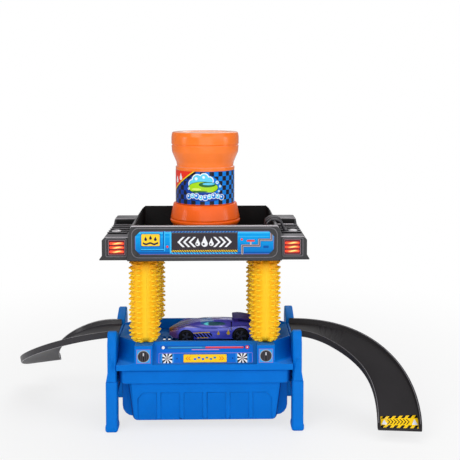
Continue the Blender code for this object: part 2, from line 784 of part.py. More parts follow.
def hook_span(side, gap):
    """Where the ramp's hook stands along X, widened by a gap."""
    near = RAMP_START_X + HOOK_THICKNESS
    return spread(side, near - gap, near + HOOK_THICKNESS + gap)


def panel_reach(height):
    """How far the leaning deck panel lies from the middle at a height."""
    share = (height - LEDGE_TOP) / (DECK_TOP - LEDGE_TOP)
    return PANEL_FOOT_REACH + (WALL_TOP_REACH - PANEL_FOOT_REACH) * share


def scoop(name, side, depth):
    """Cutter for the round hollow outside the funnel wall at a deck corner."""
    run = DECK_HALF_LENGTH - SEAT_EDGE_X
    fall = BATH_HALF_WIDTH - GATE_HALF_WIDTH
    length = math.hypot(run, fall)
    outward = Vector((side * fall / length, depth * run / length, 0.0))
    along = Vector((outward.y, -outward.x, 0.0))
    radius = DECK_TOP - LEDGE_TOP
    reach = LEDGE_REACH
    section = [(reach, LEDGE_TOP), (reach, DECK_TOP + OVERRUN), (0.0, DECK_TOP + OVERRUN)]
    for step in range(SCOOP_STEPS + 1):
        turn = math.pi / 2 * step / SCOOP_STEPS
        section.append((radius - radius * math.cos(turn), DECK_TOP - radius * math.sin(turn)))
    cutter = prism(name, section, "X", -length, length)
    basis = Matrix((along, outward, Vector((0.0, 0.0, 1.0)))).transposed().to_4x4()
    corner = Vector((side * SEAT_EDGE_X, depth * (BATH_HALF_WIDTH + WALL_THICKNESS), 0.0))
    middle = corner + along * length / 2 * math.copysign(1.0, along.x * side)
    cutter.data.transform(Matrix.Translation(middle) @ basis)
    return cutter


def bath_cutter():
    """Bath with a flat floor that rises to a threshold at each end."""
    far = DECK_HALF_LENGTH + OVERRUN
    half_profile = [
        (BATH_HALF_LENGTH, BATH_TOP),
        (DECK_HALF_LENGTH, THRESHOLD_TOP),
        (far, THRESHOLD_TOP),
        (far, DECK_TOP + OVERRUN),
    ]
    profile = [(-x, z) for x, z in reversed(half_profile)] + half_profile
    bath = prism("bath", profile, "Y", -LEDGE_REACH, LEDGE_REACH)
    quarter = [
        (SEAT_EDGE_X, BATH_HALF_WIDTH),
        (DECK_HALF_LENGTH, GATE_HALF_WIDTH),
        (far + OVERRUN, GATE_HALF_WIDTH),
    ]
    upper = quarter[::-1] + [(-x, y) for x, y in quarter]
    plan = upper + [(-x, -y) for x, y in upper]
    limits = prism("bath_plan", plan, "Z", BATH_UNDERSIDE, DECK_TOP + OVERRUN + OVERRUN)
    return combine(bath, "INTERSECT", [limits])


def roller_seat(name, side, depth):
    """Seat under a roller, from the deck's front edge to a round end."""
    outline = []
    for step in range(POST_STEPS // 2 + 1):
        turn = math.pi * step / (POST_STEPS // 2)
        across = side * ROLLER_X + SEAT_HALF_WIDTH * math.cos(turn)
        outline.append((across, depth * (ROLLER_Y - SEAT_HALF_WIDTH * math.sin(turn))))
    outline.append((side * ROLLER_X - SEAT_HALF_WIDTH, depth * LEDGE_REACH))
    outline.append((side * ROLLER_X + SEAT_HALF_WIDTH, depth * LEDGE_REACH))
    return prism(name, outline, "Z", LEDGE_TOP - FIT_GAP, DECK_TOP)


def deck():
    """Bath deck with leaning panels, scooped corners, roller seats and drain slots."""
    middle_outline = mirrored(
        [
            (LEDGE_REACH, DECK_BOTTOM),
            (LEDGE_REACH, LEDGE_TOP),
            (PANEL_FOOT_REACH, LEDGE_TOP),
            (WALL_TOP_REACH, DECK_TOP),
        ]
    )
    overlap_x = ROLLER_X + SEAT_HALF_WIDTH / 2
    body = prism("deck", middle_outline, "X", -overlap_x, overlap_x)
    for side in SIDES:
        low_x, high_x = spread(side, ROLLER_X - SEAT_HALF_WIDTH / 2, DECK_HALF_LENGTH)
        end = box(
            f"deck_end_{side_name(side)}",
            (low_x, -LEDGE_REACH, DECK_BOTTOM),
            (high_x, LEDGE_REACH, DECK_TOP),
        )
        for depth in SIDES:
            cut(end, scoop(f"scoop_{side_name(side)}_{depth_name(depth)}", side, depth))
        join(body, end)
    cut(body, bath_cutter())
    hollow = mirrored(
        [
            (PANEL_FOOT_REACH - SKIRT_THICKNESS, DECK_BOTTOM - OVERRUN),
            (PANEL_FOOT_REACH - SKIRT_THICKNESS, LEDGE_TOP - SKIRT_THICKNESS),
            (panel_reach(BATH_UNDERSIDE) - SKIRT_THICKNESS, BATH_UNDERSIDE),
        ]
    )
    inner_x = SEAT_EDGE_X - SKIRT_THICKNESS
    end_x = DECK_HALF_LENGTH - SKIRT_THICKNESS
    cut(body, prism("deck_hollow", hollow, "X", -inner_x, inner_x))
    end_hollow = box(
        "deck_end_hollow",
        (-end_x, SKIRT_THICKNESS - PANEL_FOOT_REACH, DECK_BOTTOM - OVERRUN),
        (end_x, PANEL_FOOT_REACH - SKIRT_THICKNESS, LEDGE_TOP - SKIRT_THICKNESS),
    )
    gate_hollow = box(
        "deck_gate_hollow",
        (-end_x, SKIRT_THICKNESS - GATE_HALF_WIDTH, DECK_BOTTOM - OVERRUN),
        (end_x, GATE_HALF_WIDTH - SKIRT_THICKNESS, BATH_UNDERSIDE),
    )
    cut(body, end_hollow, gate_hollow)
    for side, depth in CORNERS:
        label = f"{side_name(side)}_{depth_name(depth)}"
        join(body, roller_seat(f"roller_seat_{label}", side, depth))
        cut(body, post_bore(f"post_bore_{label}", side, depth, DECK_TOP - POST_PLUG, DECK_TOP + OVERRUN))
    for side in SIDES:
        for index in range(DRAIN_SLOTS):
            offset = (index - (DRAIN_SLOTS - 1) / 2) * DRAIN_SLOT_PITCH
            centre = side * DRAIN_GROUP_X + offset
            slot = box(
                f"drain_slot_{side_name(side)}_{index}",
                (centre - DRAIN_SLOT_WIDTH / 2, -DRAIN_SLOT_LENGTH / 2, BATH_UNDERSIDE - OVERRUN),
                (centre + DRAIN_SLOT_WIDTH / 2, DRAIN_SLOT_LENGTH / 2, BATH_TOP + OVERRUN),
            )
            cut(body, slot)
    return finish(body, "blue_plastic", BLUE_PLASTIC)


def post_bore(name, side, depth, low, high):
    """Cutter that a roller's post fits."""
    centre = (side * ROLLER_X, depth * ROLLER_Y)
    return cylinder(name, centre, POST_RADIUS + FIT_GAP, low, high)


def trapezoid(top_half, bottom_half, low, high, radius):
    """Outline of a tub's front in (x, z) with round lower corners."""
    corners = (
        (-bottom_half, low, radius),
        (bottom_half, low, radius),
        (top_half, high, 0.0),
        (-top_half, high, 0.0),
    )
    return rounded(corners)


def collection_tray():
    """Drawer that catches the water: a rim on runners, a tub and panelled front."""
    tub_front = LEG_REACH - TUB_FRONT_INSET
    body_front = tub_front - TUB_FRONT_DEPTH
    body_rear = TRAY_REAR_REACH - RIM_STEP
    tray = prism(
        "collection_tray",
        rectangle(-RIM_HALF_LENGTH, -LEG_REACH, RIM_HALF_LENGTH, TRAY_REAR_REACH, RIM_CORNER),
        "Z",
        RIM_BOTTOM,
        RIM_TOP,
    )
    bevel(tray, LEG_EDGE)
    body_outline = trapezoid(
        TRAY_BODY_HALF, TRAY_BODY_HALF, TRAY_BOTTOM, RIM_BOTTOM + TRAY_WALL, TRAY_BODY_CORNER
    )
    body = prism("tray_body", body_outline, "Y", -body_front, body_rear)
    front_outline = trapezoid(
        TUB_TOP_HALF, TUB_BOTTOM_HALF, TRAY_BOTTOM, RIM_TOP - TRAY_WALL, TUB_CORNER
    )
    front = prism("tray_front", front_outline, "Y", -tub_front, TUB_EDGE - body_front)
    bevel(front, TUB_EDGE, 3, 60.0)
    join(tray, body, front)
    inner_body = trapezoid(
        TRAY_BODY_HALF - TRAY_WALL,
        TRAY_BODY_HALF - TRAY_WALL,
        TRAY_BOTTOM + TRAY_WALL,
        RIM_TOP + OVERRUN,
        TRAY_BODY_CORNER - TRAY_WALL,
    )
    inner_front = trapezoid(
        TUB_TOP_HALF - TUB_EDGE,
        TUB_BOTTOM_HALF - TRAY_WALL - TRAY_WALL,
        TRAY_BOTTOM + TRAY_WALL,
        RIM_TOP + OVERRUN,
        TUB_CORNER,
    )
    cut(
        tray,
        prism("tray_cavity", inner_body, "Y", TRAY_WALL - body_front, body_rear - TRAY_WALL),
        prism("tray_front_cavity", inner_front, "Y", TUB_EDGE - tub_front, TUB_EDGE - body_front),
        prism(
            "tray_rim_cavity",
            rectangle(
                TRAY_WALL - RIM_HALF_LENGTH,
                TRAY_WALL - LEG_REACH,
                RIM_HALF_LENGTH - TRAY_WALL,
                TRAY_REAR_REACH - TRAY_WALL,
                RIM_CORNER - TRAY_WALL,
            ),
            "Z",
            RIM_BOTTOM + TRAY_WALL,
            RIM_TOP + OVERRUN,
        ),
    )
    for index in range(TRAY_PANELS):
        cut(tray, tray_panel(index, tub_front))
    return finish(tray, "tray_plastic", TRAY_PLASTIC)


def tray_panel(index, tub_front):
    """Cutter for one recessed panel of the tray's front; the outer two are chamfered."""
    centre = (index - (TRAY_PANELS - 1) / 2) * TRAY_PANEL_PITCH
    half = TRAY_PANEL_PITCH * TRAY_PANEL_WIDTH_SHARE / 2
    top = TRAY_BOTTOM + TRAY_PANEL_HEIGHT
    low = TRAY_BOTTOM - OVERRUN
    left = [(centre - half, top)]
    right = [(centre + half, top)]
    if index == 0:
        left = [(centre - half + TRAY_PANEL_CHAMFER, top), (centre - half, top - TRAY_PANEL_CHAMFER)]
    if index == TRAY_PANELS - 1:
        right = [(centre + half, top - TRAY_PANEL_CHAMFER), (centre + half - TRAY_PANEL_CHAMFER, top)]
    outline = [(centre - half, low), (centre + half, low)] + right + left
    return prism(f"tray_panel_{index}", outline, "Y", -tub_front - OVERRUN, TRAY_PANEL_RECESS - tub_front)


def roller_core(height):
    """Radius of a roller's core, which draws in towards both ends."""
    from_end = min(height, ROLLER_LENGTH - height)
    share = math.sin(math.pi / 2 * min(1.0, from_end / TAPER_LENGTH))
    return ROLLER_COLLAR_RADIUS + (ROLLER_CORE_RADIUS - ROLLER_COLLAR_RADIUS) * share


def roller_rings():
    """Heights between the rows of pegs, with a plain band at each end."""
    first = (ROLLER_LENGTH - PEG_ROWS * PEG_ROW_PITCH) / 2
    rows = [first + row * PEG_ROW_PITCH for row in range(PEG_ROWS + 1)]
    return [0.0] + rows + [ROLLER_LENGTH]


def roller_mesh():
    """Sleeve with rows and columns of pegs: a poked grid that is wrapped round."""
    rings = roller_rings()
    spans = len(rings) - 1
    work = bmesh.new()
    bmesh.ops.create_grid(work, x_segments=PEG_COLUMNS, y_segments=spans, size=1.0)
    row_of = {face: int((face.calc_center_median().y + 1.0) / 2 * spans) for face in work.faces}
    peg_faces = [face for face, row in row_of.items() if 0 < row < spans - 1]
    tips = set(bmesh.ops.poke(work, faces=peg_faces)["verts"])
    for vert in work.verts:
        place = (vert.co.y + 1.0) / 2 * spans
        ring = min(int(place + MERGE_DISTANCE), spans - 1)
        height = rings[ring] + (rings[ring + 1] - rings[ring]) * (place - ring)
        radius = roller_core(height) + (PEG_LENGTH if vert in tips else 0.0)
        turn = math.pi * (vert.co.x + 1.0) - math.pi / PEG_COLUMNS - math.pi / 2
        vert.co = (radius * math.cos(turn), radius * math.sin(turn), height)
    bmesh.ops.remove_doubles(work, verts=work.verts, dist=MERGE_DISTANCE)
    bmesh.ops.holes_fill(work, edges=work.edges)
    return mesh_of(work, "wash_roller")


def wash_rollers():
    """Four brush rollers that share one mesh and spin on their posts."""
    mesh = roller_mesh()
    for side, depth in CORNERS:
        name = f"wash_roller_{depth_name(depth)}_{side_name(side)}"
        roller = shape(name, mesh)
        roller.location = (side * ROLLER_X, depth * ROLLER_Y, ROLLER_BOTTOM)
        bore = cylinder(
            f"{name}_bore",
            (side * ROLLER_X, depth * ROLLER_Y),
            ROLLER_BORE_RADIUS,
            ROLLER_BOTTOM - OVERRUN,
            ROLLER_TOP + OVERRUN,
            steps=PEG_COLUMNS,
        )
        cut(roller, bore)
        finish(roller, "roller_rubber", ROLLER_RUBBER)


def roller_posts():
    """Posts that carry the roof and serve as the rollers' axles."""
    for side, depth in CORNERS:
        name = f"roller_post_{depth_name(depth)}_{side_name(side)}"
        centre = (side * ROLLER_X, depth * ROLLER_Y)
        low = DECK_TOP - POST_PLUG + FIT_GAP
        post = cylinder(name, centre, POST_RADIUS, low, BOSS_TOP - FIT_GAP)
        finish(post, "post_plastic", POST_PLASTIC)


def sign_outline():
    """Outline of the sign's recess in (x, z), with chamfered corners."""
    low = ROOF_BOTTOM + SIGN_BASE
    high = low + SIGN_HEIGHT
    near = SIGN_HALF_LENGTH - SIGN_CHAMFER
    half = [
        (near, low),
        (SIGN_HALF_LENGTH, low + SIGN_CHAMFER),
        (SIGN_HALF_LENGTH, high - SIGN_CHAMFER),
        (near, high),
    ]
    return mirrored(half)


def wing_outline(side):
    """Outline of a roof wing in (x, z), with a chamfer above and a lip below."""
    inner = ROOF_SHOULDER_X - WING_OVERLAP
    points = [
        (inner, ROOF_BOTTOM),
        (WING_OUTER_X + WING_LIP_PROUD, ROOF_BOTTOM),
        (WING_OUTER_X + WING_LIP_PROUD, ROOF_BOTTOM + WING_LIP_EDGE),
        (WING_OUTER_X, ROOF_BOTTOM + WING_LIP_HEIGHT),
        (WING_OUTER_X, WING_TOP - WING_CHAMFER_DROP),
        (WING_OUTER_X - WING_CHAMFER_RUN, WING_TOP),
        (inner, WING_TOP),
    ]
    return [(side * x, z) for x, z in points]


def roof_wing(side):
    """Wing beside the basin, with a blower housing at the rear."""
    name = f"roof_wing_{side_name(side)}"
    wing = prism(name, wing_outline(side), "Y", -WING_REACH, WING_REACH)
    bevel(wing, ROOF_EDGE)
    low_x, high_x = spread(side, ROOF_SHOULDER_X, ROOF_SHOULDER_X + BLOWER_INSET + BLOWER_LENGTH)
    blower = tapered_box(
        f"{name}_blower",
        (low_x, WING_REACH - BLOWER_DEPTH, WING_TOP - BLOWER_RISE),
        (high_x, WING_REACH, WING_TOP + BLOWER_RISE),
        ROOF_EDGE,
        ROOF_EDGE,
    )
    bevel(blower, BLOWER_EDGE, 2)
    join(wing, blower)
    low_x, high_x = spread(side, ROOF_HALF_LENGTH + WING_WALL, WING_OUTER_X - WING_WALL)
    hollow = box(
        f"{name}_hollow",
        (low_x, WING_WALL - WING_REACH, ROOF_BOTTOM - OVERRUN),
        (high_x, WING_REACH - WING_WALL, WING_TOP - WING_CHAMFER_DROP - WING_WALL),
    )
    cut(wing, hollow)
    low_x, high_x = spread(side, WING_OUTER_X - LAMP_INSET - LAMP_WIDTH, WING_OUTER_X - LAMP_INSET)
    lamp_base = ROOF_BOTTOM + LAMP_BASE
    for depth in SIDES:
        low_y, high_y = spread(depth, WING_REACH - LAMP_RECESS, WING_REACH + OVERRUN)
        lamp = box(
            f"{name}_lamp_{depth_name(depth)}",
            (low_x, low_y, lamp_base),
            (high_x, high_y, lamp_base + LAMP_HEIGHT),
        )
        cut(wing, lamp)
    middle_x = side * (ROOF_HALF_LENGTH + WING_OUTER_X) / 2
    for index in range(VENT_SLOTS):
        y = (index - VENT_SLOTS) * VENT_SLOT_PITCH
        slot = box(
            f"{name}_vent_{index}",
            (middle_x - VENT_SLOT_LENGTH / 2, y - VENT_SLOT_WIDTH / 2, WING_TOP - VENT_DEPTH),
            (middle_x + VENT_SLOT_LENGTH / 2, y + VENT_SLOT_WIDTH / 2, WING_TOP + OVERRUN),
        )
        cut(wing, slot)
    return wing


def roof_shell():
    """Frame round the basin with a sign front and rear, and two wings."""
    half = [
        (ROOF_HALF_LENGTH, ROOF_BOTTOM),
        (ROOF_SHOULDER_X, ROOF_TOP - ROOF_CHAMFER_DROP),
        (ROOF_SHOULDER_X - ROOF_CHAMFER_RUN, ROOF_TOP),
    ]
    roof = prism("roof_shell", mirrored(half), "Y", -ROOF_REACH, ROOF_REACH)
    bevel(roof, ROOF_EDGE)
    join(roof, roof_wing(-1), roof_wing(1))
    well = prism(
        "roof_well",
        rectangle(-ROOF_INNER_X, -ROOF_INNER_Y, ROOF_INNER_X, ROOF_INNER_Y, BASIN_CORNER),
        "Z",
        ROOF_PLATE_TOP,
        ROOF_TOP + OVERRUN,
    )
    shower = prism(
        "roof_shower",
        rectangle(
            -SHOWER_HALF_LENGTH, -SHOWER_HALF_WIDTH, SHOWER_HALF_LENGTH, SHOWER_HALF_WIDTH, BASIN_CORNER
        ),
        "Z",
        ROOF_BOTTOM - OVERRUN,
        ROOF_PLATE_TOP + OVERRUN,
    )
    cut(roof, well, shower)
    for depth in SIDES:
        low_y, high_y = spread(depth, ROOF_REACH - SIGN_RECESS, ROOF_REACH + OVERRUN)
        cut(roof, prism(f"roof_sign_{depth_name(depth)}", sign_outline(), "Y", low_y, high_y))
    for side, depth in CORNERS:
        label = f"{side_name(side)}_{depth_name(depth)}"
        centre = (side * ROLLER_X, depth * ROLLER_Y)
        low = ROOF_PLATE_TOP - ROOF_PLATE / 2
        join(roof, cylinder(f"roof_boss_{label}", centre, BOSS_RADIUS, low, BOSS_TOP))
        cut(roof, post_bore(f"roof_bore_{label}", side, depth, ROOF_BOTTOM - OVERRUN, BOSS_TOP + OVERRUN))
    return finish(roof, "roof_plastic", ROOF_PLASTIC)


def water_basin():
    """Black basin that drops into the roof, with a seat for the jar and shower holes."""
    rear_top = ROOF_TOP + BASIN_REAR_RISE
    side_top = ROOF_TOP - BASIN_DROP
    basin = prism(
        "water_basin",
        rectangle(-BASIN_HALF_LENGTH, -BASIN_REACH, BASIN_HALF_LENGTH, BASIN_REACH, BASIN_CORNER),
        "Z",
        BASIN_BOTTOM,
        rear_top,
    )
    inner_x = BASIN_HALF_LENGTH - BASIN_WALL
    inner_y = BASIN_REACH - BASIN_WALL
    inner = prism(
        "basin_inside",
        rectangle(-inner_x, -inner_y, inner_x, inner_y, BASIN_CORNER - BASIN_WALL),
        "Z",
        BASIN_FLOOR_TOP,
        rear_top + OVERRUN,
    )
    trim = box(
        "basin_trim",
        (-ROOF_HALF_LENGTH, -ROOF_REACH, side_top),
        (ROOF_HALF_LENGTH, inner_y - BASIN_CORNER, rear_top + OVERRUN),
    )
    cut(basin, inner, trim)
    for side in SIDES:
        chamfer = [
            (side * (ROOF_HALF_LENGTH + OVERRUN), side_top),
            (side * BASIN_HALF_LENGTH, side_top),
            (side * (BASIN_HALF_LENGTH - BASIN_CHAMFER), rear_top),
            (side * (BASIN_HALF_LENGTH - BASIN_CHAMFER), rear_top + OVERRUN),
            (side * (ROOF_HALF_LENGTH + OVERRUN), rear_top + OVERRUN),
        ]
        cut(basin, prism(f"basin_chamfer_{side_name(side)}", chamfer, "Y", 0.0, ROOF_REACH))
    ring = turned(
        "basin_seat_ring",
        [
            (SEAT_RING_RADIUS, SEAT_RING_TOP),
            (SEAT_RING_RADIUS, BASIN_BOTTOM + BASIN_FLOOR / 2),
            (SEAT_RING_RADIUS - SEAT_RING_WALL, BASIN_BOTTOM + BASIN_FLOOR / 2),
            (SEAT_RING_RADIUS - SEAT_RING_WALL, SEAT_RING_TOP),
        ],
        SEAT_RING_STEPS,
    )
    join(basin, ring)
    reach = SEAT_RING_RADIUS + SEAT_RING_WALL
    notch_top = BASIN_FLOOR_TOP + SEAT_RING_NOTCH_HEIGHT
    for label, half_x, half_y in (("x", reach, SEAT_RING_NOTCH / 2), ("y", SEAT_RING_NOTCH / 2, reach)):
        notch = box(
            f"seat_ring_notch_{label}", (-half_x, -half_y, BASIN_FLOOR_TOP), (half_x, half_y, notch_top)
        )
        cut(basin, notch)
    for column in range(SHOWER_COLUMNS):
        for row in range(SHOWER_ROWS):
            x = (column - (SHOWER_COLUMNS - 1) / 2) * SHOWER_PITCH
            y = (row - (SHOWER_ROWS - 1) / 2) * SHOWER_PITCH
            hole = cylinder(
                f"shower_hole_{column}_{row}",
                (x, y),
                SHOWER_HOLE_RADIUS,
                BASIN_BOTTOM - OVERRUN,
                BASIN_FLOOR_TOP + OVERRUN,
                steps=SHOWER_HOLE_STEPS,
            )
            cut(basin, hole)
    return finish(basin, "basin_plastic", BASIN_PLASTIC)


def hose_strand():
    """Route in (x, z) of one strand, from inside the basin to the wing's top."""
    clear = HOSE_RADIUS + HOSE_CLEAR
    wall_inner = BASIN_HALF_LENGTH - BASIN_WALL
    strand = [(wall_inner - clear, ROOF_TOP - HOSE_INSIDE_DROP)]
    for corner_x, start in ((wall_inner, math.pi), (ROOF_SHOULDER_X, math.pi / 2)):
        for step in range(HOSE_TURN_STEPS + 1):
            turn = start - math.pi / 2 * step / HOSE_TURN_STEPS
            strand.append((corner_x + clear * math.cos(turn), ROOF_TOP + clear * math.sin(turn)))
    bend = HOSE_PITCH / 2
    bend_x = ROOF_SHOULDER_X + clear + bend
    bend_z = WING_TOP + clear + bend
    for step in range(HOSE_TURN_STEPS + 1):
        turn = math.pi / 2 * step / HOSE_TURN_STEPS
        strand.append((bend_x - bend * math.cos(turn), bend_z - bend * math.sin(turn)))
    strand.append((bend_x + HOSE_OUTSIDE_RUN, bend_z - bend))
    return strand


def hose_points():
    """Route of the hose: strands over the basin's wall, joined by round turns."""
    strand = hose_strand()
    radius = HOSE_PITCH / 2
    steps = HOSE_TURN_STEPS + HOSE_TURN_STEPS
    points = []
    for index in range(HOSE_STRANDS):
        y = HOSE_START_Y + index * HOSE_PITCH
        outward = index % 2 == 0
        run = strand if outward else strand[::-1]
        points += [(x, y, z) for x, z in run]
        if index == HOSE_STRANDS - 1:
            continue
        end_x, end_z = run[-1]
        for step in range(1, steps):
            turn = math.pi * step / steps
            along = radius * math.sin(turn)
            across = y + radius * (1 - math.cos(turn))
            points.append((end_x + along, across, end_z) if outward else (end_x, across, end_z - along))
    return points


def roof_hose():
    """Moulded hose that hangs over the basin's right wall."""
    points = hose_points()
    curve = bpy.data.curves.new("roof_hose", "CURVE")
    curve.dimensions = "3D"
    curve.bevel_depth = HOSE_RADIUS
    curve.bevel_resolution = 2
    curve.use_fill_caps = True
    spline = curve.splines.new("POLY")
    spline.points.add(len(points) - 1)
    for point, place in zip(spline.points, points):
        point.co = (*place, 1.0)
    hose = curve_to_part(shape("roof_hose", curve))
    return finish(hose, "hose_plastic", HOSE_PLASTIC)


def flare(low_radius, high_radius, low, high, steps):
    """Profile points of an S-shaped change of radius, from the top down."""
    points = []
    for step in range(steps + 1):
        share = 1 - step / steps
        ease = (1 - math.cos(math.pi * share)) / 2
        points.append((low_radius + (high_radius - low_radius) * ease, low + (high - low) * share))
    return points


def jar_cap():
    """Screw cap with a flared foot and drip holes, which closes the jar's mouth."""
    foot_top = JAR_BOTTOM + CAP_FOOT_HEIGHT
    disc_bottom = JAR_BOTTOM + CAP_DISC_RISE
    bore = NECK_RADIUS + FIT_GAP
    recess = CAP_FOOT_RADIUS - CAP_FOOT_WALL
    ledge = CAP_WIDE_RADIUS - CAP_FOOT_EDGE
    profile = [(0.0, CAP_DISC_TOP), (bore, CAP_DISC_TOP), (bore, CAP_TOP)]
    profile += flare(CAP_WIDE_RADIUS, CAP_NECK_RADIUS, foot_top + CAP_FOOT_HEIGHT, CAP_TOP, CAP_FLARE_STEPS)
    profile += [
        (CAP_WIDE_RADIUS, foot_top),
        (ledge, foot_top - CAP_FOOT_EDGE),
        (ledge, JAR_BOTTOM + CAP_FOOT_EDGE),
        (CAP_FOOT_RADIUS, JAR_BOTTOM),
        (recess, JAR_BOTTOM),
        (recess, disc_bottom),
        (0.0, disc_bottom),
    ]
    cap = turned("jar_cap", profile, JAR_STEPS)
    for index in range(DRIP_HOLES):
        turn = math.tau * index / DRIP_HOLES
        centre = (DRIP_RING_RADIUS * math.cos(turn), DRIP_RING_RADIUS * math.sin(turn))
        hole = cylinder(
            f"drip_hole_{index}",
            centre,
            DRIP_HOLE_RADIUS,
            JAR_BOTTOM - OVERRUN,
            CAP_DISC_TOP + OVERRUN,
            steps=SHOWER_HOLE_STEPS,
        )
        cut(cap, hole)
    return finish(cap, "cap_plastic", CAP_PLASTIC)


def jar_body():
    """Jar, mouth down: a waist for the label, a wide top and a neck in the cap."""
    waist_top = JAR_BODY_BOTTOM + JAR_WAIST_HEIGHT
    flare_top = waist_top + JAR_FLARE_HEIGHT
    groove = JAR_TOP - JAR_GROOVE_DROP
    edge = JAR_SHOULDER_RADIUS - JAR_TOP_EDGE
    inside = JAR_WAIST_RADIUS - JAR_WALL
    bore = NECK_RADIUS - NECK_WALL
    profile = [
        (0.0, JAR_TOP),
        (edge, JAR_TOP),
        (JAR_SHOULDER_RADIUS - JAR_GROOVE, JAR_TOP - JAR_TOP_EDGE),
        (JAR_SHOULDER_RADIUS - JAR_GROOVE, groove + JAR_GROOVE_WIDTH),
        (JAR_SHOULDER_RADIUS - JAR_GROOVE - JAR_GROOVE, groove + JAR_GROOVE_WIDTH / 2),
        (JAR_SHOULDER_RADIUS, groove),
    ]
    profile += flare(JAR_WAIST_RADIUS, JAR_SHOULDER_RADIUS, waist_top, flare_top, JAR_FLARE_STEPS)
    profile += [
        (JAR_WAIST_RADIUS, JAR_BODY_BOTTOM),
        (NECK_RADIUS, JAR_BODY_BOTTOM),
        (NECK_RADIUS, NECK_BOTTOM),
        (bore, NECK_BOTTOM),
        (bore, JAR_BODY_BOTTOM + JAR_WALL),
        (inside, JAR_BODY_BOTTOM + JAR_WALL + JAR_WALL),
    ]
    shoulder_inside = JAR_SHOULDER_RADIUS - JAR_WALL - JAR_GROOVE
    profile += flare(inside, shoulder_inside, waist_top, flare_top, JAR_FLARE_STEPS // 2)[::-1]
    profile += [(shoulder_inside, JAR_TOP - JAR_WALL), (0.0, JAR_TOP - JAR_WALL)]
    return finish(turned("jar_body", profile, JAR_STEPS), "jar_plastic", JAR_PLASTIC)


def jar_seal():
    """Rubber ring between the jar's neck and the cap's disc."""
    low = CAP_DISC_TOP + FIT_GAP
    outer = NECK_RADIUS
    inner = outer - SEAL_WIDTH
    profile = [(outer, SEAL_TOP), (outer, low), (inner, low), (inner, SEAL_TOP)]
    return finish(turned("jar_seal", profile, JAR_STEPS), "seal_rubber", SEAL_RUBBER)


def ramp_turn(share):
    """Heading of a ramp at a share of its run, counted from straight out."""
    parts = (part * share ** (power + 1) for power, part in enumerate(RAMP_TURN_SHARES))
    return math.pi / 2 * sum(parts)


def ramp_stations(side):
    """Middles of the wall tops, headings and banks down the ramp on one side."""
    fall, fall_shares, rise, tilt = RAMP_SHAPES[side]
    top = RAMP_BOTTOM + RAMP_HEIGHT
    stations = [(Vector((RAMP_START_X, 0.0, top)), 0.0, 0.0)]
    x, y = RAMP_BEND_X, 0.0
    for index in range(RAMP_SPANS + 1):
        share = index / RAMP_SPANS
        drop = sum(part * share ** (power + 2) for power, part in enumerate(fall_shares))
        bank = rise * math.sin(math.pi * share) ** 2 + tilt * (1 - (1 - share) ** 3)
        place = Vector((x, y, top - fall * drop))
        stations.append((place, ramp_turn(share), math.atan2(bank, RAMP_HALF_WIDTH)))
        onward = ramp_turn((index + 1 / 2) / RAMP_SPANS)
        x += RAMP_RUN / RAMP_SPANS * math.cos(onward)
        y -= RAMP_RUN / RAMP_SPANS * math.sin(onward)
    return stations


def ramp_section():
    """Channel section in (across, up), with its wall tops at zero."""
    outer = RAMP_HALF_WIDTH
    inner = RAMP_HALF_WIDTH - RAMP_WALL
    road = RAMP_FLOOR - RAMP_HEIGHT
    return [
        (-outer, -RAMP_HEIGHT),
        (outer, -RAMP_HEIGHT),
        (outer, 0.0),
        (inner, 0.0),
        (inner - RAMP_WALL / 2, road),
        (RAMP_WALL / 2 - inner, road),
        (-inner, 0.0),
        (-outer, 0.0),
    ]


def ramp_mesh(side):
    """Loft of the channel's section down the falling, banked turn.

    The ramp on the left turns half round from the one on the right.
    """
    stations = ramp_stations(side)
    section = ramp_section()
    work = bmesh.new()
    rings = []
    for place, turn, bank in stations:
        across = Vector((math.sin(turn), math.cos(turn), 0.0))
        tilted = across * math.cos(bank) + Vector((0.0, 0.0, math.sin(bank)))
        upward = Vector((0.0, 0.0, math.cos(bank))) - across * math.sin(bank)
        rings.append([work.verts.new(place + tilted * side + upward * up) for side, up in section])
    count = len(section)
    for before, after in zip(rings, rings[1:]):
        for index in range(count):
            following = (index + 1) % count
            work.faces.new((before[index], before[following], after[following], after[index]))
    work.faces.new(rings[0])
    work.faces.new(rings[-1])
    bmesh.ops.scale(work, vec=(side, side, 1.0), verts=work.verts)
    return mesh_of(work, "ramp")


def ramps():
    """Two ramps, each with a hook that drops into its end frame's slot."""
    for name, side in (("entrance_ramp", 1), ("exit_ramp", -1)):
        ramp = shape(name, ramp_mesh(side))
        hook_low, hook_high = hook_span(side, 0.0)
        hook = box(
            f"{name}_hook",
            (hook_low, -HOOK_LENGTH / 2, GATE_SEAT_TOP - HOOK_DEPTH),
            (hook_high, HOOK_LENGTH / 2, RAMP_BOTTOM + RAMP_FLOOR / 2),
        )
        join(ramp, hook)
        finish(ramp, "ramp_plastic", RAMP_PLASTIC)


# Car stations as shares: place along the length, half width of the sill,
# half width of the shoulder, height of the sill, shoulder and top, half width of the top
CAR_STATION_SHARES = (
    (0.00, 0.42, 0.40, 0.16, 0.38, 0.44, 0.25),
    (0.04, 0.62, 0.62, 0.06, 0.42, 0.52, 0.35),
    (0.12, 0.86, 0.90, 0.05, 0.56, 0.66, 0.48),
    (0.20, 0.96, 1.00, 0.05, 0.72, 0.78, 0.55),
    (0.30, 0.95, 0.96, 0.05, 0.70, 0.80, 0.52),
    (0.42, 0.90, 0.88, 0.05, 0.64, 0.86, 0.46),
    (0.55, 0.90, 0.88, 0.05, 0.64, 0.90, 0.44),
    (0.68, 0.92, 0.94, 0.05, 0.72, 0.92, 0.46),
    (0.80, 0.98, 1.00, 0.05, 0.86, 0.92, 0.60),
    (0.90, 0.98, 1.00, 0.06, 0.86, 0.88, 0.66),
    (0.97, 0.94, 0.94, 0.12, 0.78, 0.80, 0.64),
    (1.00, 0.84, 0.84, 0.24, 0.66, 0.70, 0.58),
)


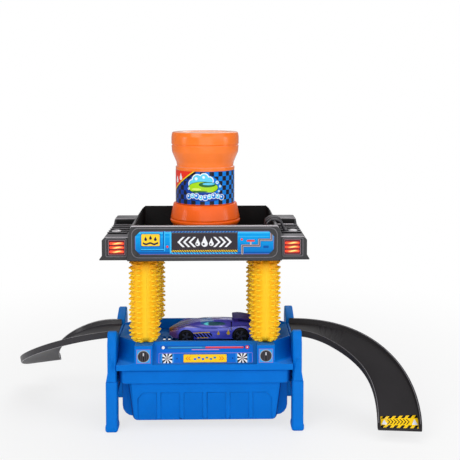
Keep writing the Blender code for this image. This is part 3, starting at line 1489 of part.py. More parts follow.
def car_body():
    """Low sports body: a loft of stations with wheel arches, canopy pocket and chassis recess."""
    work = bmesh.new()
    rings = []
    for along, sill, shoulder, sill_z, shoulder_z, top_z, top in CAR_STATION_SHARES:
        x = CAR_NOSE_X + CAR_LENGTH * along
        half = [
            (sill * CAR_HALF_WIDTH, sill_z),
            (shoulder * CAR_HALF_WIDTH, (sill_z + shoulder_z) / 2),
            (shoulder * CAR_HALF_WIDTH, shoulder_z),
            (top * CAR_HALF_WIDTH, top_z),
        ]
        ring = half + [(-y, z) for y, z in reversed(half)]
        rings.append([work.verts.new((x, y, CAR_BOTTOM + CAR_HEIGHT * z)) for y, z in ring])
    count = len(rings[0])
    for before, after in zip(rings, rings[1:]):
        for index in range(count):
            following = (index + 1) % count
            work.faces.new((before[index], before[following], after[following], after[index]))
    work.faces.new(rings[0])
    work.faces.new(rings[-1])
    body = shape("car_body", mesh_of(work, "car_body"))
    wheels = ((CAR_FRONT_AXLE, FRONT_WHEEL_RADIUS), (CAR_REAR_AXLE, REAR_WHEEL_RADIUS))
    for number, (centre, radius) in enumerate(wheels):
        for side in SIDES:
            low, high = spread(side, CHASSIS_HALF_WIDTH, CAR_HALF_WIDTH + OVERRUN)
            arch = cylinder(
                f"wheel_arch_{number}_{side_name(side)}",
                centre,
                radius + WHEEL_ARCH_GAP,
                low,
                high,
                "Y",
                WHEEL_STEPS,
            )
            cut(body, arch)
    recess_half = CHASSIS_HALF_WIDTH + FIT_GAP
    recess = box(
        "chassis_recess",
        (CAR_NOSE_X + CHASSIS_INSET - FIT_GAP, -recess_half, CAR_BOTTOM - OVERRUN),
        (
            CAR_NOSE_X + CAR_LENGTH - CHASSIS_INSET + FIT_GAP,
            recess_half,
            CAR_BOTTOM + CHASSIS_HEIGHT + FIT_GAP,
        ),
    )
    cut(body, recess, canopy_shape("canopy_pocket", FIT_GAP))
    for side in SIDES:
        cut(body, strut(f"strut_pocket_{side_name(side)}", side, FIT_GAP))
    return finish(body, "car_paint", CAR_PAINT)


def canopy_shape(name, gap):
    """Teardrop canopy with a flat base, grown by a gap for its pocket."""
    work = bmesh.new()
    bmesh.ops.create_uvsphere(work, u_segments=CANOPY_STEPS, v_segments=CANOPY_STEPS // 2, radius=1.0)
    base = CAR_BOTTOM + CANOPY_BASE_RISE
    half_length = CAR_LENGTH * CANOPY_LENGTH_SHARE / 2
    scale = Vector((half_length + gap, CANOPY_WIDTH / 2 + gap, CANOPY_HEIGHT + gap))
    for vert in work.verts:
        vert.co.z = max(vert.co.z, 0.0)
    bmesh.ops.dissolve_degenerate(work, dist=MERGE_DISTANCE, edges=work.edges)
    bmesh.ops.remove_doubles(work, verts=work.verts, dist=MERGE_DISTANCE)
    for vert in work.verts:
        lift = -gap if vert.co.z == 0 else 0.0
        vert.co = (
            CANOPY_MIDDLE_X + vert.co.x * scale.x,
            vert.co.y * scale.y,
            base + vert.co.z * scale.z + lift,
        )
    return shape(name, mesh_of(work, name))


def strut(name, side, gap):
    """Strut that carries the spoiler, grown by a gap for its pocket in the body."""
    middle = SPOILER_BACK_X - SPOILER_CHORD / 2
    centre_y = side * STRUT_Y
    return box(
        name,
        (
            middle - STRUT_LENGTH / 2 - gap,
            centre_y - STRUT_WIDTH / 2 - gap,
            CAR_BOTTOM + STRUT_SEAT_RISE - gap,
        ),
        (
            middle + STRUT_LENGTH / 2 + gap,
            centre_y + STRUT_WIDTH / 2 + gap,
            BATH_TOP + SPOILER_RISE - SPOILER_THICKNESS / 2,
        ),
    )


def car_spoiler():
    """Rear spoiler: a raised blade on two struts."""
    top = BATH_TOP + SPOILER_RISE
    blade = tapered_box(
        "car_spoiler",
        (SPOILER_BACK_X - SPOILER_CHORD, -SPOILER_SPAN / 2, top - SPOILER_THICKNESS),
        (SPOILER_BACK_X, SPOILER_SPAN / 2, top),
        SPOILER_THICKNESS / 2,
        SPOILER_THICKNESS / 2,
    )
    join(blade, strut("strut_left", -1, 0.0), strut("strut_right", 1, 0.0))
    return finish(blade, "car_paint", CAR_PAINT)


def car_chassis():
    """Base plate with bores for the two axles."""
    chassis = box(
        "car_chassis",
        (CAR_NOSE_X + CHASSIS_INSET, -CHASSIS_HALF_WIDTH, CAR_BOTTOM),
        (CAR_NOSE_X + CAR_LENGTH - CHASSIS_INSET, CHASSIS_HALF_WIDTH, CAR_BOTTOM + CHASSIS_HEIGHT),
    )
    for number, centre in enumerate((CAR_FRONT_AXLE, CAR_REAR_AXLE)):
        bore = cylinder(
            f"axle_bore_{number}",
            centre,
            AXLE_RADIUS + AXLE_BORE_GAP,
            -CAR_HALF_WIDTH,
            CAR_HALF_WIDTH,
            "Y",
            POST_STEPS,
        )
        cut(chassis, bore)
    return finish(chassis, "chassis_plastic", CHASSIS_PLASTIC)


def car_running_gear():
    """Two axles, each with a wheel pressed on at both ends."""
    axle_half = CAR_HALF_WIDTH - HUB_DEPTH - HUB_DEPTH
    gear = (("front", CAR_FRONT_AXLE, FRONT_WHEEL_RADIUS), ("rear", CAR_REAR_AXLE, REAR_WHEEL_RADIUS))
    for place, (x, z), radius in gear:
        axle = cylinder(f"car_axle_{place}", (0.0, 0.0), AXLE_RADIUS, -axle_half, axle_half, "Y")
        axle.location = (x, 0.0, z)
        finish(axle, "axle_steel", AXLE_STEEL)
        for side in SIDES:
            car_wheel(f"car_wheel_{place}_{side_name(side)}", x, z, radius, side)


def car_wheel(name, x, z, radius, side):
    """Wheel with a dished face outside and a blind bore for the axle inside."""
    low, high = spread(side, CAR_HALF_WIDTH - WHEEL_WIDTH, CAR_HALF_WIDTH)
    wheel = cylinder(name, (0.0, 0.0), radius, low, high, "Y", WHEEL_STEPS)
    wheel.location = (x, 0.0, z)
    dish_low, dish_high = spread(side, CAR_HALF_WIDTH - HUB_DEPTH, CAR_HALF_WIDTH + OVERRUN)
    dish = cylinder(f"{name}_dish", (x, z), radius * HUB_SHARE, dish_low, dish_high, "Y", WHEEL_STEPS)
    bore_low, bore_high = spread(
        side, CAR_HALF_WIDTH - WHEEL_WIDTH - OVERRUN, CAR_HALF_WIDTH - HUB_DEPTH - HUB_DEPTH + FIT_GAP
    )
    bore = cylinder(f"{name}_bore", (x, z), AXLE_RADIUS + FIT_GAP, bore_low, bore_high, "Y")
    cut(wheel, dish, bore)
    return finish(wheel, "tyre_plastic", TYRE_PLASTIC)


def build():
    """Make every piece of the playset."""
    clear_scene()
    deck()
    for side in SIDES:
        end_frame(side)
    for side, depth in CORNERS:
        lower_leg(side, depth)
    collection_tray()
    roller_posts()
    wash_rollers()
    roof_shell()
    water_basin()
    roof_hose()
    jar_cap()
    jar_seal()
    jar_body()
    ramps()
    car_body()
    finish(canopy_shape("car_canopy", 0.0), "car_glass", CAR_GLASS)
    car_spoiler()
    car_chassis()
    car_running_gear()


build()
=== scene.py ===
"""Looks of a toy car wash playset, laid over the frame that its CAD model gives.

Every length is in metres unless a name ends in _mm. The frame's origin lies on
the floor under the middle of the deck, +Z is up and the viewer stands at -Y.
"""
from __future__ import annotations

import logging
import math
import random
from dataclasses import dataclass
from enum import Enum
from typing import Callable, Mapping, Sequence, Union

import bmesh
import bpy
from mathutils import Matrix, Vector


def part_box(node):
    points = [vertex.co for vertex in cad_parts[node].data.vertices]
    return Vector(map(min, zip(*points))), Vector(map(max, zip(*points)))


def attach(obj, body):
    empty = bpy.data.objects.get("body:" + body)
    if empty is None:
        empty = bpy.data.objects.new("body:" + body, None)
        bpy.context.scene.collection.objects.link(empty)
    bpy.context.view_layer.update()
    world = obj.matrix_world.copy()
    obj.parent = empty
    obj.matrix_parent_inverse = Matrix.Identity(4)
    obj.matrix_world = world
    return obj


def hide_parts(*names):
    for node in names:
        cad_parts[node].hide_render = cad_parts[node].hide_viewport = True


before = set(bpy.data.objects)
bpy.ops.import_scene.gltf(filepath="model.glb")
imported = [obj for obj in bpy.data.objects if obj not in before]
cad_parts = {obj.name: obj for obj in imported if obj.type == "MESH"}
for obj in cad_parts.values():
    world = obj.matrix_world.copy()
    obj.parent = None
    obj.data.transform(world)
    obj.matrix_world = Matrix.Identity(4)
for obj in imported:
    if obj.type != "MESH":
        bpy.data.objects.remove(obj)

log = logging.getLogger("car_wash")
Colour = tuple[float, float, float]
Point2 = tuple[float, float]
Point3 = tuple[float, float, float]
Material = bpy.types.Material
Mesh = bpy.types.Mesh
BMesh = bmesh.types.BMesh
Piece = bpy.types.Object
Place = Callable[[float, float, float], Vector]
MM = 0.001
PRINT_MAP = "print"
SQUARE_ANGLE = math.radians(75.0)
FLAT_ANGLE = math.radians(0.5)
SHORTEST_EDGE = 0.003
WELD = 1e-6
ROD_SIDES = 12


class Side(Enum):
    """Left or right of the set, as the viewer sees it."""

    LEFT = -1
    RIGHT = 1


class Depth(Enum):
    """Front or rear of the set."""

    FRONT = -1
    REAR = 1


CORNERS = [(depth, side) for depth in Depth for side in Side]


def words(*places: Enum) -> str:
    """Name of a place, such as front_left."""
    return "_".join(place.name.lower() for place in places)


def srgb(red: int, green: int, blue: int) -> Colour:
    """Turn an 8-bit screen colour into a linear one."""

    def linear(value: int) -> float:
        """Linear share of one channel."""
        share = value / 255
        return share / 12.92 if share <= 0.04045 else ((share + 0.055) / 1.055) ** 2.4

    return (linear(red), linear(green), linear(blue))


class Wire:
    """A number that flows through a material's nodes, with arithmetic."""

    def __init__(self, shader: Shader, socket: bpy.types.NodeSocket) -> None:
        """Wrap one output socket.

        Args:
            shader: The material that the socket belongs to.
            socket: The node output that carries the number.
        """
        self.shader = shader
        self.socket = socket

    def __add__(self, other: Value) -> Wire:
        """Sum."""
        return self.shader.maths("ADD", self, other)

    __radd__ = __add__

    def __sub__(self, other: Value) -> Wire:
        """Difference."""
        return self.shader.maths("SUBTRACT", self, other)

    def __rsub__(self, other: Value) -> Wire:
        """Difference from a plain number."""
        return self.shader.maths("SUBTRACT", other, self)

    def __mul__(self, other: Value) -> Wire:
        """Product."""
        return self.shader.maths("MULTIPLY", self, other)

    __rmul__ = __mul__

    def __mod__(self, other: Value) -> Wire:
        """Remainder that never goes below zero."""
        return self.shader.maths("FLOORED_MODULO", self, other)

    def __abs__(self) -> Wire:
        """Size without sign."""
        return self.shader.maths("ABSOLUTE", self)

    def __gt__(self, other: Value) -> Wire:
        """One where this is greater, else zero."""
        return self.shader.maths("GREATER_THAN", self, other)

    def __lt__(self, other: Value) -> Wire:
        """One where this is less, else zero."""
        return self.shader.maths("LESS_THAN", self, other)

    def least(self, other: Value) -> Wire:
        """Lesser of the two."""
        return self.shader.maths("MINIMUM", self, other)

    def most(self, other: Value) -> Wire:
        """Greater of the two."""
        return self.shader.maths("MAXIMUM", self, other)

    def hypot(self, other: Wire) -> Wire:
        """Length of the vector that the two make."""
        return self.shader.maths("SQRT", self * self + other * other)

    def angle_to(self, other: Value) -> Wire:
        """Angle whose tangent is this over the other."""
        return self.shader.maths("ARCTAN2", self, other)

    def ease(self, low: float, high: float) -> Wire:
        """Smooth step from zero at low to one at high."""
        sockets = {"Value": self, "From Min": low, "From Max": high}
        smooth = {"interpolation_type": "SMOOTHSTEP"}
        node = self.shader.node("ShaderNodeMapRange", smooth, sockets)
        return Wire(self.shader, node.outputs["Result"])


Value = Union[Wire, float]
Tint = Union[Wire, Colour]


class Shader:
    """Node tree of one material round a Principled shader."""

    def __init__(self, name: str) -> None:
        """Make an empty material with a Principled shader."""
        self.material = bpy.data.materials.new(name)
        self.material.use_nodes = True
        self.tree = self.material.node_tree
        self.surface = self.tree.nodes["Principled BSDF"]
        self.coordinates = self.node("ShaderNodeTexCoord")

    def node(
        self,
        kind: str,
        settings: Mapping[str, object] | None = None,
        sockets: Mapping[object, object] | None = None,
    ) -> bpy.types.Node:
        """Add one node.

        Args:
            kind: The node's type.
            settings: Its own settings, set first.
            sockets: Values or links for its inputs, by name or number.

        Returns:
            The new node.
        """
        node = self.tree.nodes.new(kind)
        for key, value in (settings or {}).items():
            setattr(node, key, value)
        for key, value in (sockets or {}).items():
            socket = node.inputs[key]
            source = value.socket if isinstance(value, Wire) else value
            if isinstance(source, bpy.types.NodeSocket):
                self.tree.links.new(source, socket)
            elif socket.type == "RGBA":
                socket.default_value = (*source, 1.0)
            else:
                socket.default_value = source
        return node

    def maths(self, operation: str, *values: Value) -> Wire:
        """Work out a Math node's result from its values."""
        node = self.node("ShaderNodeMath", {"operation": operation}, dict(enumerate(values)))
        return Wire(self, node.outputs["Value"])

    def mix(self, share: Value, first: Tint, second: Tint) -> Wire:
        """Blend two colours by a share of the second."""
        sockets = {0: share, 6: first, 7: second}
        return Wire(self, self.node("ShaderNodeMix", {"data_type": "RGBA"}, sockets).outputs[2])

    def place(self, output: str = "Object", scale: float = 1 / MM) -> tuple[Wire, Wire, Wire]:
        """Coordinates on the piece, in millimetres unless scaled otherwise."""
        split = self.node("ShaderNodeSeparateXYZ", {}, {0: self.coordinates.outputs[output]})
        return tuple(Wire(self, split.outputs[axis]) * scale for axis in "XYZ")

    def sheet(self) -> tuple[Wire, Wire]:
        """Millimetres across and up on a printed sheet, from its own map."""
        layout = self.node("ShaderNodeUVMap", {"uv_map": PRINT_MAP})
        split = self.node("ShaderNodeSeparateXYZ", {}, {0: layout.outputs["UV"]})
        return tuple(Wire(self, split.outputs[axis]) * (1 / MM) for axis in "XY")

    def noise(self, size_mm: float, detail: float = 2.0, stretch: Point3 = (1, 1, 1)) -> Wire:
        """Soft random field, about 0.5 on average, with blobs of a size."""
        scale = [part / MM / size_mm for part in stretch]
        sockets = {0: self.coordinates.outputs["Object"], 1: scale}
        scaled = self.node("ShaderNodeVectorMath", {"operation": "MULTIPLY"}, sockets)
        sockets = {"Vector": scaled.outputs["Vector"], "Scale": 1.0, "Detail": detail}
        return Wire(self, self.node("ShaderNodeTexNoise", {}, sockets).outputs[0])

    def surface_values(self, **values: object) -> None:
        """Set or link the Principled shader's sockets, by name with underscores."""
        for key, value in values.items():
            socket = self.surface.inputs[key.replace("_", " ")]
            if isinstance(value, Wire):
                self.tree.links.new(value.socket, socket)
            elif socket.type == "RGBA":
                socket.default_value = (*value, 1.0)
            else:
                socket.default_value = value

    def relief(self, height: Wire, depth_mm: float) -> None:
        """Bump the surface by a field of heights."""
        sockets = {"Height": height, "Distance": depth_mm * MM, "Strength": 1.0}
        bump = self.node("ShaderNodeBump", {}, sockets)
        self.tree.links.new(bump.outputs["Normal"], self.surface.inputs["Normal"])


@dataclass(frozen=True)
class Plastic:
    """Moulded plastic with a spark-eroded grain and slight mottling, and, where asked, painted
    sheen on tops, painted shade on sideways faces and painted highlights on chamfers.
    """

    name: str
    colour: Colour
    roughness: float = 0.42
    grain_mm: float = 0.45
    grain_depth_mm: float = 0.012
    mottle: float = 0.06
    # Painted sheen: faces that point up blend towards the top colour, by the top share.
    top: Colour | None = None
    top_sheen_share: float = 0.8
    coat: float = 0.0
    specular: float = 0.5
    # Painted shade: faces that point sideways blend towards the side colour.
    side: Colour | None = None
    # Painted highlight: slanted chamfers above the given height take the pale rim colour.
    rim: Colour | None = None
    highlight_above_mm: float = 160.0

    def material(self) -> Material:
        """Build the finish."""
        shader = Shader(self.name)
        broad = shader.noise(23.0, 3.0)
        fine = shader.noise(self.grain_mm, 2.0)
        dark = tuple(part * (1 - self.mottle * 2) for part in self.colour)
        base = shader.mix(broad.ease(0.3, 0.7), dark, self.colour)
        # Painted sheen: upward faces turn towards the paler top colour.
        if self.top is not None:
            upward = shader.place("Normal", 1.0)[2].ease(0.55, 0.95)
            base = shader.mix(upward * self.top_sheen_share, base, self.top)
        # Painted shade: sideways faces turn towards the darker side colour.
        if self.side is not None:
            outward = abs(shader.place("Normal", 1.0)[0]).ease(0.4, 0.85)
            base = shader.mix(outward, base, self.side)
        # Painted highlight: pale colour on chamfers that face up and to the front or rear, high on
        # the piece.
        if self.rim is not None:
            _, depth, upward = shader.place("Normal", 1.0)
            slanted = abs(depth).ease(0.45, 0.55) * upward.ease(0.45, 0.55)
            high = shader.place()[2] > self.highlight_above_mm
            base = shader.mix(slanted * high, base, self.rim)
        shader.surface_values(
            Base_Color=base,
            Roughness=self.roughness + (fine - 0.5) * 0.16 + (broad - 0.5) * 0.1,
            Coat_Weight=self.coat,
            Coat_Roughness=0.15,
            Specular_IOR_Level=self.specular,
        )
        shader.relief(fine, self.grain_depth_mm)
        return shader.material


@dataclass(frozen=True)
class BrushRubber:
    """Soft yellow rubber with painted shade: deeper between the pegs and orange towards the top,
    under the roof.
    """

    length_mm: float
    name: str = "brush_rubber"
    tip: Colour = srgb(255, 246, 112)
    root: Colour = srgb(255, 240, 56)
    shade: Colour = srgb(226, 132, 4)
    peg_mm: float = 3.2
    roof_shade_mm: float = 14.0
    core_mm: float = 10.6
    collar_mm: float = 6.5
    taper_mm: float = 5.0

    def material(self) -> Material:
        """Build the finish; the roller's axis is its object's Z axis."""
        shader = Shader(self.name)
        across, along, height = shader.place()
        from_end = height.least(self.length_mm - height)
        share = (from_end * (1 / self.taper_mm)).least(1.0)
        core = self.collar_mm + share * (self.core_mm - self.collar_mm)
        outward = ((across.hypot(along) - core).most(0.0) * (1 / self.peg_mm)).least(1.0)
        # Painted shade: deeper colour at the pegs' roots, paler towards their tips.
        skin = shader.mix(shader.maths("POWER", outward, 0.5), self.root, self.tip)
        # Painted shade: the top of the roller, under the roof, turns towards the shade colour.
        high = height.ease(self.length_mm - self.roof_shade_mm, self.length_mm)
        fine = shader.noise(0.5, 2.0)
        shader.surface_values(
            Base_Color=shader.mix(high * 0.8, skin, self.shade),
            Roughness=0.45 + (fine - 0.5) * 0.2,
            Specular_IOR_Level=0.2,
        )
        shader.relief(fine, 0.02)
        return shader.material


class Canvas:
    """A print that masks paint on, in millimetres across and up."""

    SOFT_MM = 0.1

    def __init__(self, shader: Shader, across: Wire, up: Wire, ground: Tint) -> None:
        """Start with a plain ground.

        Args:
            shader: The material to paint in.
            across: Distance to the right on the print.
            up: Distance upwards on the print.
            ground: Colour where nothing else is painted.
        """
        self.shader = shader
        self.across = across
        self.up = up
        self.colour = ground

    def cover(self, depth: Wire) -> Wire:
        """Mask from a depth inside a shape's edge."""
        return depth.ease(-self.SOFT_MM / 2, self.SOFT_MM / 2)

    def paint(self, mask: Wire, colour: Tint) -> None:
        """Lay a colour over what is there."""
        self.colour = self.shader.mix(mask, self.colour, colour)

    def fill(self, colour: Tint, centre: Point2, half: Point2, corner: float = 0.0) -> None:
        """Paint an upright rectangle."""
        self.paint(self.bar(centre, half, corner), colour)

    def dot(self, colour: Tint, centre: Point2, radius: float) -> None:
        """Paint a disc."""
        self.paint(self.disc(centre, radius), colour)

    def bar(self, centre: Point2, half: Point2, corner: float = 0.0) -> Wire:
        """Mask of an upright rectangle, with round corners if asked."""
        out_x = abs(self.across - centre[0]) - (half[0] - corner)
        out_y = abs(self.up - centre[1]) - (half[1] - corner)
        if corner == 0:
            return self.cover(-1 * out_x.most(out_y))
        beyond = out_x.most(0.0).hypot(out_y.most(0.0))
        return self.cover(corner - beyond - out_x.most(out_y).least(0.0))

    def disc(self, centre: Point2, radius: float) -> Wire:
        """Mask of a disc."""
        return self.cover(radius - (self.across - centre[0]).hypot(self.up - centre[1]))

    def oval(self, centre: Point2, half: Point2) -> Wire:
        """Mask of an upright oval."""
        across = (self.across - centre[0]) * (1 / half[0])
        up = (self.up - centre[1]) * (1 / half[1])
        return self.cover((1 - across.hypot(up)) * min(half))

    def drop(self, centre: Point2, radius: float, height: float) -> Wire:
        """Mask of a falling drop: a disc with a point above it."""
        side = abs(self.across - centre[0])
        rise = self.up - centre[1]
        point = (radius - side - rise * (radius / height)).least(rise)
        return self.cover((radius - side.hypot(rise)).most(point))

    def stripes(self, pitch: float, slant: float, share: float = 0.5) -> Wire:
        """Mask of slanted stripes that cover a share of the print."""
        phase = (self.across + self.up * slant) % pitch
        return (phase < pitch * share) * 1.0

    def checks(self, size: float) -> Wire:
        """Mask of a chequered pattern."""
        return abs((self.across % (2 * size) < size) - (self.up % (2 * size) < size))

    def chevron(self, centre: Point2, half: float, width: float, direction: int = 1) -> Wire:
        """Mask of one arrow bracket that points right, or left for -1."""
        rise = abs(self.up - centre[1])
        out = abs((self.across - centre[0]) * direction + rise) - width / 2
        return self.cover((-1 * out).least(half - rise))

    def arrowhead(self, foot: Point2, half: float, height: float) -> Wire:
        """Mask of a triangle that points up from the middle of its foot."""
        side = abs(self.across - foot[0])
        rise = self.up - foot[1]
        return self.cover((half - side - rise * (half / height)).least(rise))

    def pinwheel(self, centre: Point2, blades: int) -> Wire:
        """Mask of the blades of a pinwheel that fills the print."""
        turn = (self.up - centre[1]).angle_to(self.across - centre[0]) * (blades / math.tau)
        return (turn % 1.0 < 0.5) * 1.0

    def finish(self, roughness: float = 0.28, coat: float = 0.4) -> Material:
        """Close the print as glossy film over the paint."""
        speck = self.shader.noise(0.8, 2.0)
        self.shader.surface_values(
            Base_Color=self.colour,
            Roughness=roughness + (speck - 0.5) * 0.1,
            Coat_Weight=coat,
            Coat_Roughness=0.1,
            Specular_IOR_Level=0.08,
        )
        return self.shader.material


def new_piece(
    name: str,
    mesh: Mesh,
    body: str,
    slot: str,
    material: Material,
    stands_for: Sequence[str] = (),
    smooth_angle: float = 35.0,
    at: Sequence[float] = (0.0, 0.0, 0.0),
) -> Piece:
    """Put a mesh in the scene as a piece of the set.

    Args:
        name: Name of the piece.
        mesh: Its mesh, in the frame's own metres.
        body: The CAD body that it rides on.
        slot: Name of a material slot; not used.
        material: The finish to give it.
        stands_for: CAD nodes that it replaces.
        smooth_angle: Edges sharper than this, in degrees, stay sharp.
        at: Where the mesh's origin stands.

    Returns:
        The new object.
    """
    piece = bpy.data.objects.new(name, mesh)
    piece.location = at
    bpy.context.scene.collection.objects.link(piece)
    mesh.materials.clear()
    mesh.materials.append(material)
    mesh.shade_smooth()
    mesh.set_sharp_from_angle(angle=math.radians(smooth_angle))
    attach(piece, body)
    if stands_for:
        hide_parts(*stands_for)
    log.info("%s rides on %s", name, body)
    return piece


def mesh_from(work: BMesh, name: str) -> Mesh:
    """Close a bmesh into a mesh whose faces point out."""
    bmesh.ops.recalc_face_normals(work, faces=work.faces)
    mesh = bpy.data.meshes.new(name)
    work.to_mesh(mesh)
    work.free()
    return mesh


def bridge(
    work: BMesh,
    before: Sequence[bmesh.types.BMVert],
    after: Sequence[bmesh.types.BMVert],
) -> None:
    """Join two closed rings of corners by a band of faces."""
    count = len(before)
    for index in range(count):
        following = (index + 1) % count
        work.faces.new((before[index], before[following], after[following], after[index]))


def add_box(work: BMesh, low: Sequence[float], high: Sequence[float], edge: float) -> None:
    """Add an upright box between two corners, its edges cut off by a little."""
    made = bmesh.ops.create_cube(work, size=1.0)["verts"]
    middle = [(a + b) / 2 for a, b in zip(low, high)]
    for vert in made:
        vert.co = [m + part * (b - a) for m, part, a, b in zip(middle, vert.co, low, high)]
    edges = {line for vert in made for line in vert.link_edges}
    bmesh.ops.bevel(work, geom=list(edges), offset=edge, segments=2, affect="EDGES", profile=0.5)


def skin(work: BMesh, rings: Sequence[Sequence[Point3]], closed: bool = False) -> None:
    """Join rings of points by bands of faces, capped or, if closed, back to the first."""
    laid = [[work.verts.new(point) for point in ring] for ring in rings]
    for before, after in zip(laid, laid[1:] + (laid[:1] if closed else [])):
        bridge(work, before, after)
    if not closed:
        work.faces.new(laid[0])
        work.faces.new(laid[-1])


def add_cylinder(
    work: BMesh, place: Matrix, radius: float, depth: float, segments: int
) -> None:
    """Add a capped cylinder about the Z axis of its place."""
    size = {"segments": segments, "radius1": radius, "radius2": radius, "depth": depth}
    bmesh.ops.create_cone(work, cap_ends=True, matrix=place, **size)


def settle(piece: Piece) -> None:
    """Apply a piece's modifiers to its mesh."""
    bpy.context.view_layer.update()
    graph = bpy.context.evaluated_depsgraph_get()
    mesh = bpy.data.meshes.new_from_object(piece.evaluated_get(graph))
    piece.modifiers.clear()
    piece.data = mesh


def cut(piece: Piece, work: BMesh, name: str) -> None:
    """Cut a tool's shape out of a piece."""
    tool = bpy.data.objects.new(name, mesh_from(work, name))
    bpy.context.scene.collection.objects.link(tool)
    cutter = piece.modifiers.new(name, "BOOLEAN")
    cutter.operation = "DIFFERENCE"
    cutter.object = tool
    cutter.solver = "EXACT"
    settle(piece)
    bpy.data.objects.remove(tool)


def soften(piece: Piece, width: float) -> Piece:
    """Round the weighted edges of a piece and keep its flat faces flat."""
    bevel = piece.modifiers.new("edges", "BEVEL")
    bevel.width = width
    bevel.segments = 2
    bevel.limit_method = "WEIGHT"
    bevel.use_clamp_overlap = False
    bevel.harden_normals = True
    return piece


def moulded(
    node: str, body: str, slot: str, material: Material, edge: float = 0.0004
) -> Piece:
    """Stand in for a CAD node with the same shape, its edges softly rounded.

    Args:
        node: The CAD node.
        body: The body that carries it.
        slot: Its material slot.
        material: Its finish.
        edge: Width of the rounding of long square edges, or zero for none.

    Returns:
        The new piece.
    """
    work = bmesh.new()
    work.from_mesh(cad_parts[node].data)
    bmesh.ops.remove_doubles(work, verts=work.verts, dist=WELD)
    bmesh.ops.dissolve_limit(work, angle_limit=FLAT_ANGLE, verts=work.verts, edges=work.edges)
    weight = work.edges.layers.float.new("bevel_weight_edge")
    for line in work.edges:
        square = line.calc_face_angle(0.0) > SQUARE_ANGLE
        line[weight] = float(square and line.calc_length() > SHORTEST_EDGE)
    piece = new_piece(f"{node}_moulding", mesh_from(work, node), body, slot, material, [node])
    return soften(piece, edge) if edge else piece


def circle(radii: Sequence[float], height: float) -> list[Point3]:
    """Ring of points about the Z axis, one for each radius and the first one to the front."""
    turns = (math.tau * step / len(radii) for step in range(len(radii)))
    return [(r * math.sin(a), -r * math.cos(a), height) for r, a in zip(radii, turns)]


def lathe(name: str, profile: Sequence[Point2], steps: int = 96) -> Mesh:
    """Turn a (radius, height) profile about the Z axis.

    Args:
        name: Name of the mesh.
        profile: Points down the outside and up the inside.
        steps: Sides of the turning.

    Returns:
        The turned mesh.
    """
    work = bmesh.new()
    rings = []
    for radius, height in profile:
        ring = circle([radius] * (steps if radius else 1), height)
        rings.append([work.verts.new(point) for point in ring])
    closed = len(rings[0]) > 1
    for upper, lower in zip(rings, rings[1:] + (rings[:1] if closed else [])):
        for step in range(steps):
            around = ((upper, step), (lower, step), (lower, step + 1), (upper, step + 1))
            corners = [ring[spot % len(ring)] for ring, spot in around]
            unique = list(dict.fromkeys(corners))
            if len(unique) > 2:
                work.faces.new(unique)
    return mesh_from(work, name)


def fillet(corners: Sequence[Point3], steps: int = 5) -> list[Point2]:
    """Open or closed run of points with an arc at each (x, y, radius) corner."""
    points: list[Point2] = []
    for index, (x, y, radius) in enumerate(corners):
        if radius == 0:
            points.append((x, y))
            continue
        corner = Vector((x, y))
        before = (Vector(corners[index - 1][:2]) - corner).normalized()
        after = (Vector(corners[(index + 1) % len(corners)][:2]) - corner).normalized()
        half = before.angle(after) / 2
        centre = corner + (before + after).normalized() * radius / math.sin(half)
        run = radius / math.tan(half)
        first = corner + before * run - centre
        last = corner + after * run - centre
        start = math.atan2(first.y, first.x)
        sweep = (math.atan2(last.y, last.x) - start + math.pi) % math.tau - math.pi
        for step in range(steps + 1):
            turn = start + sweep * step / steps
            points.append((centre.x + radius * math.cos(turn), centre.y + radius * math.sin(turn)))
    return points


def plate(
    name: str,
    outline: Sequence[Point2],
    place: Place,
    thickness: float,
    origin: Point2 = (0.0, 0.0),
) -> Mesh:
    """Thin printed plate with a flat outline, such as a sticker.

    Args:
        name: Name of the mesh.
        outline: Its outline, across and up.
        place: Turns across, up and out into a point of the frame.
        thickness: How far its face stands out.
        origin: The point of the outline that the print counts from.

    Returns:
        The plate's mesh, with a map of its print.
    """
    work = bmesh.new()
    layer = work.loops.layers.uv.new(PRINT_MAP)
    spots = {}
    sides = []
    for out in (0.0, thickness):
        ring = [work.verts.new(place(x, y, out)) for x, y in outline]
        spots.update(zip(ring, outline))
        sides.append(ring)
    bridge(work, *sides)
    for ring in sides:
        work.faces.new(ring)
    for face in work.faces:
        for loop in face.loops:
            x, y = spots[loop.vert]
            loop[layer].uv = (x - origin[0], y - origin[1])
    return mesh_from(work, name)


def facing(depth: Depth, reach: float) -> Place:
    """Turn (across, height, out) into a point on an upright face, front or rear."""

    def place(across: float, height: float, out: float) -> Vector:
        """Point of the frame."""
        return Vector((-across * depth.value, depth.value * (reach + out), height))

    return place


def loft(name: str, rings: Sequence[Sequence[Point3]], closed: bool = False) -> Mesh:
    """Skin rings into one tube, capped or closed into a loop."""
    work = bmesh.new()
    skin(work, rings, closed)
    return mesh_from(work, name)


def rounded(
    half: Point2, radius: float, steps: int = 4, centre: Point2 = (0.0, 0.0)
) -> list[Point2]:
    """Outline of a rounded rectangle about a centre."""
    x, y = half
    corners = [(-x, -y, radius), (x, -y, radius), (x, y, radius), (-x, y, radius)]
    return [(centre[0] + a, centre[1] + b) for a, b in fillet(corners, steps)]


def octagon(half: float, low: float, high: float, corner: float) -> list[Point2]:
    """Outline of an upright rectangle with its corners cut off."""
    inner = half - corner
    side = [(inner, low), (half, low + corner), (half, high - corner), (inner, high)]
    return side + [(-x, z) for x, z in reversed(side)]


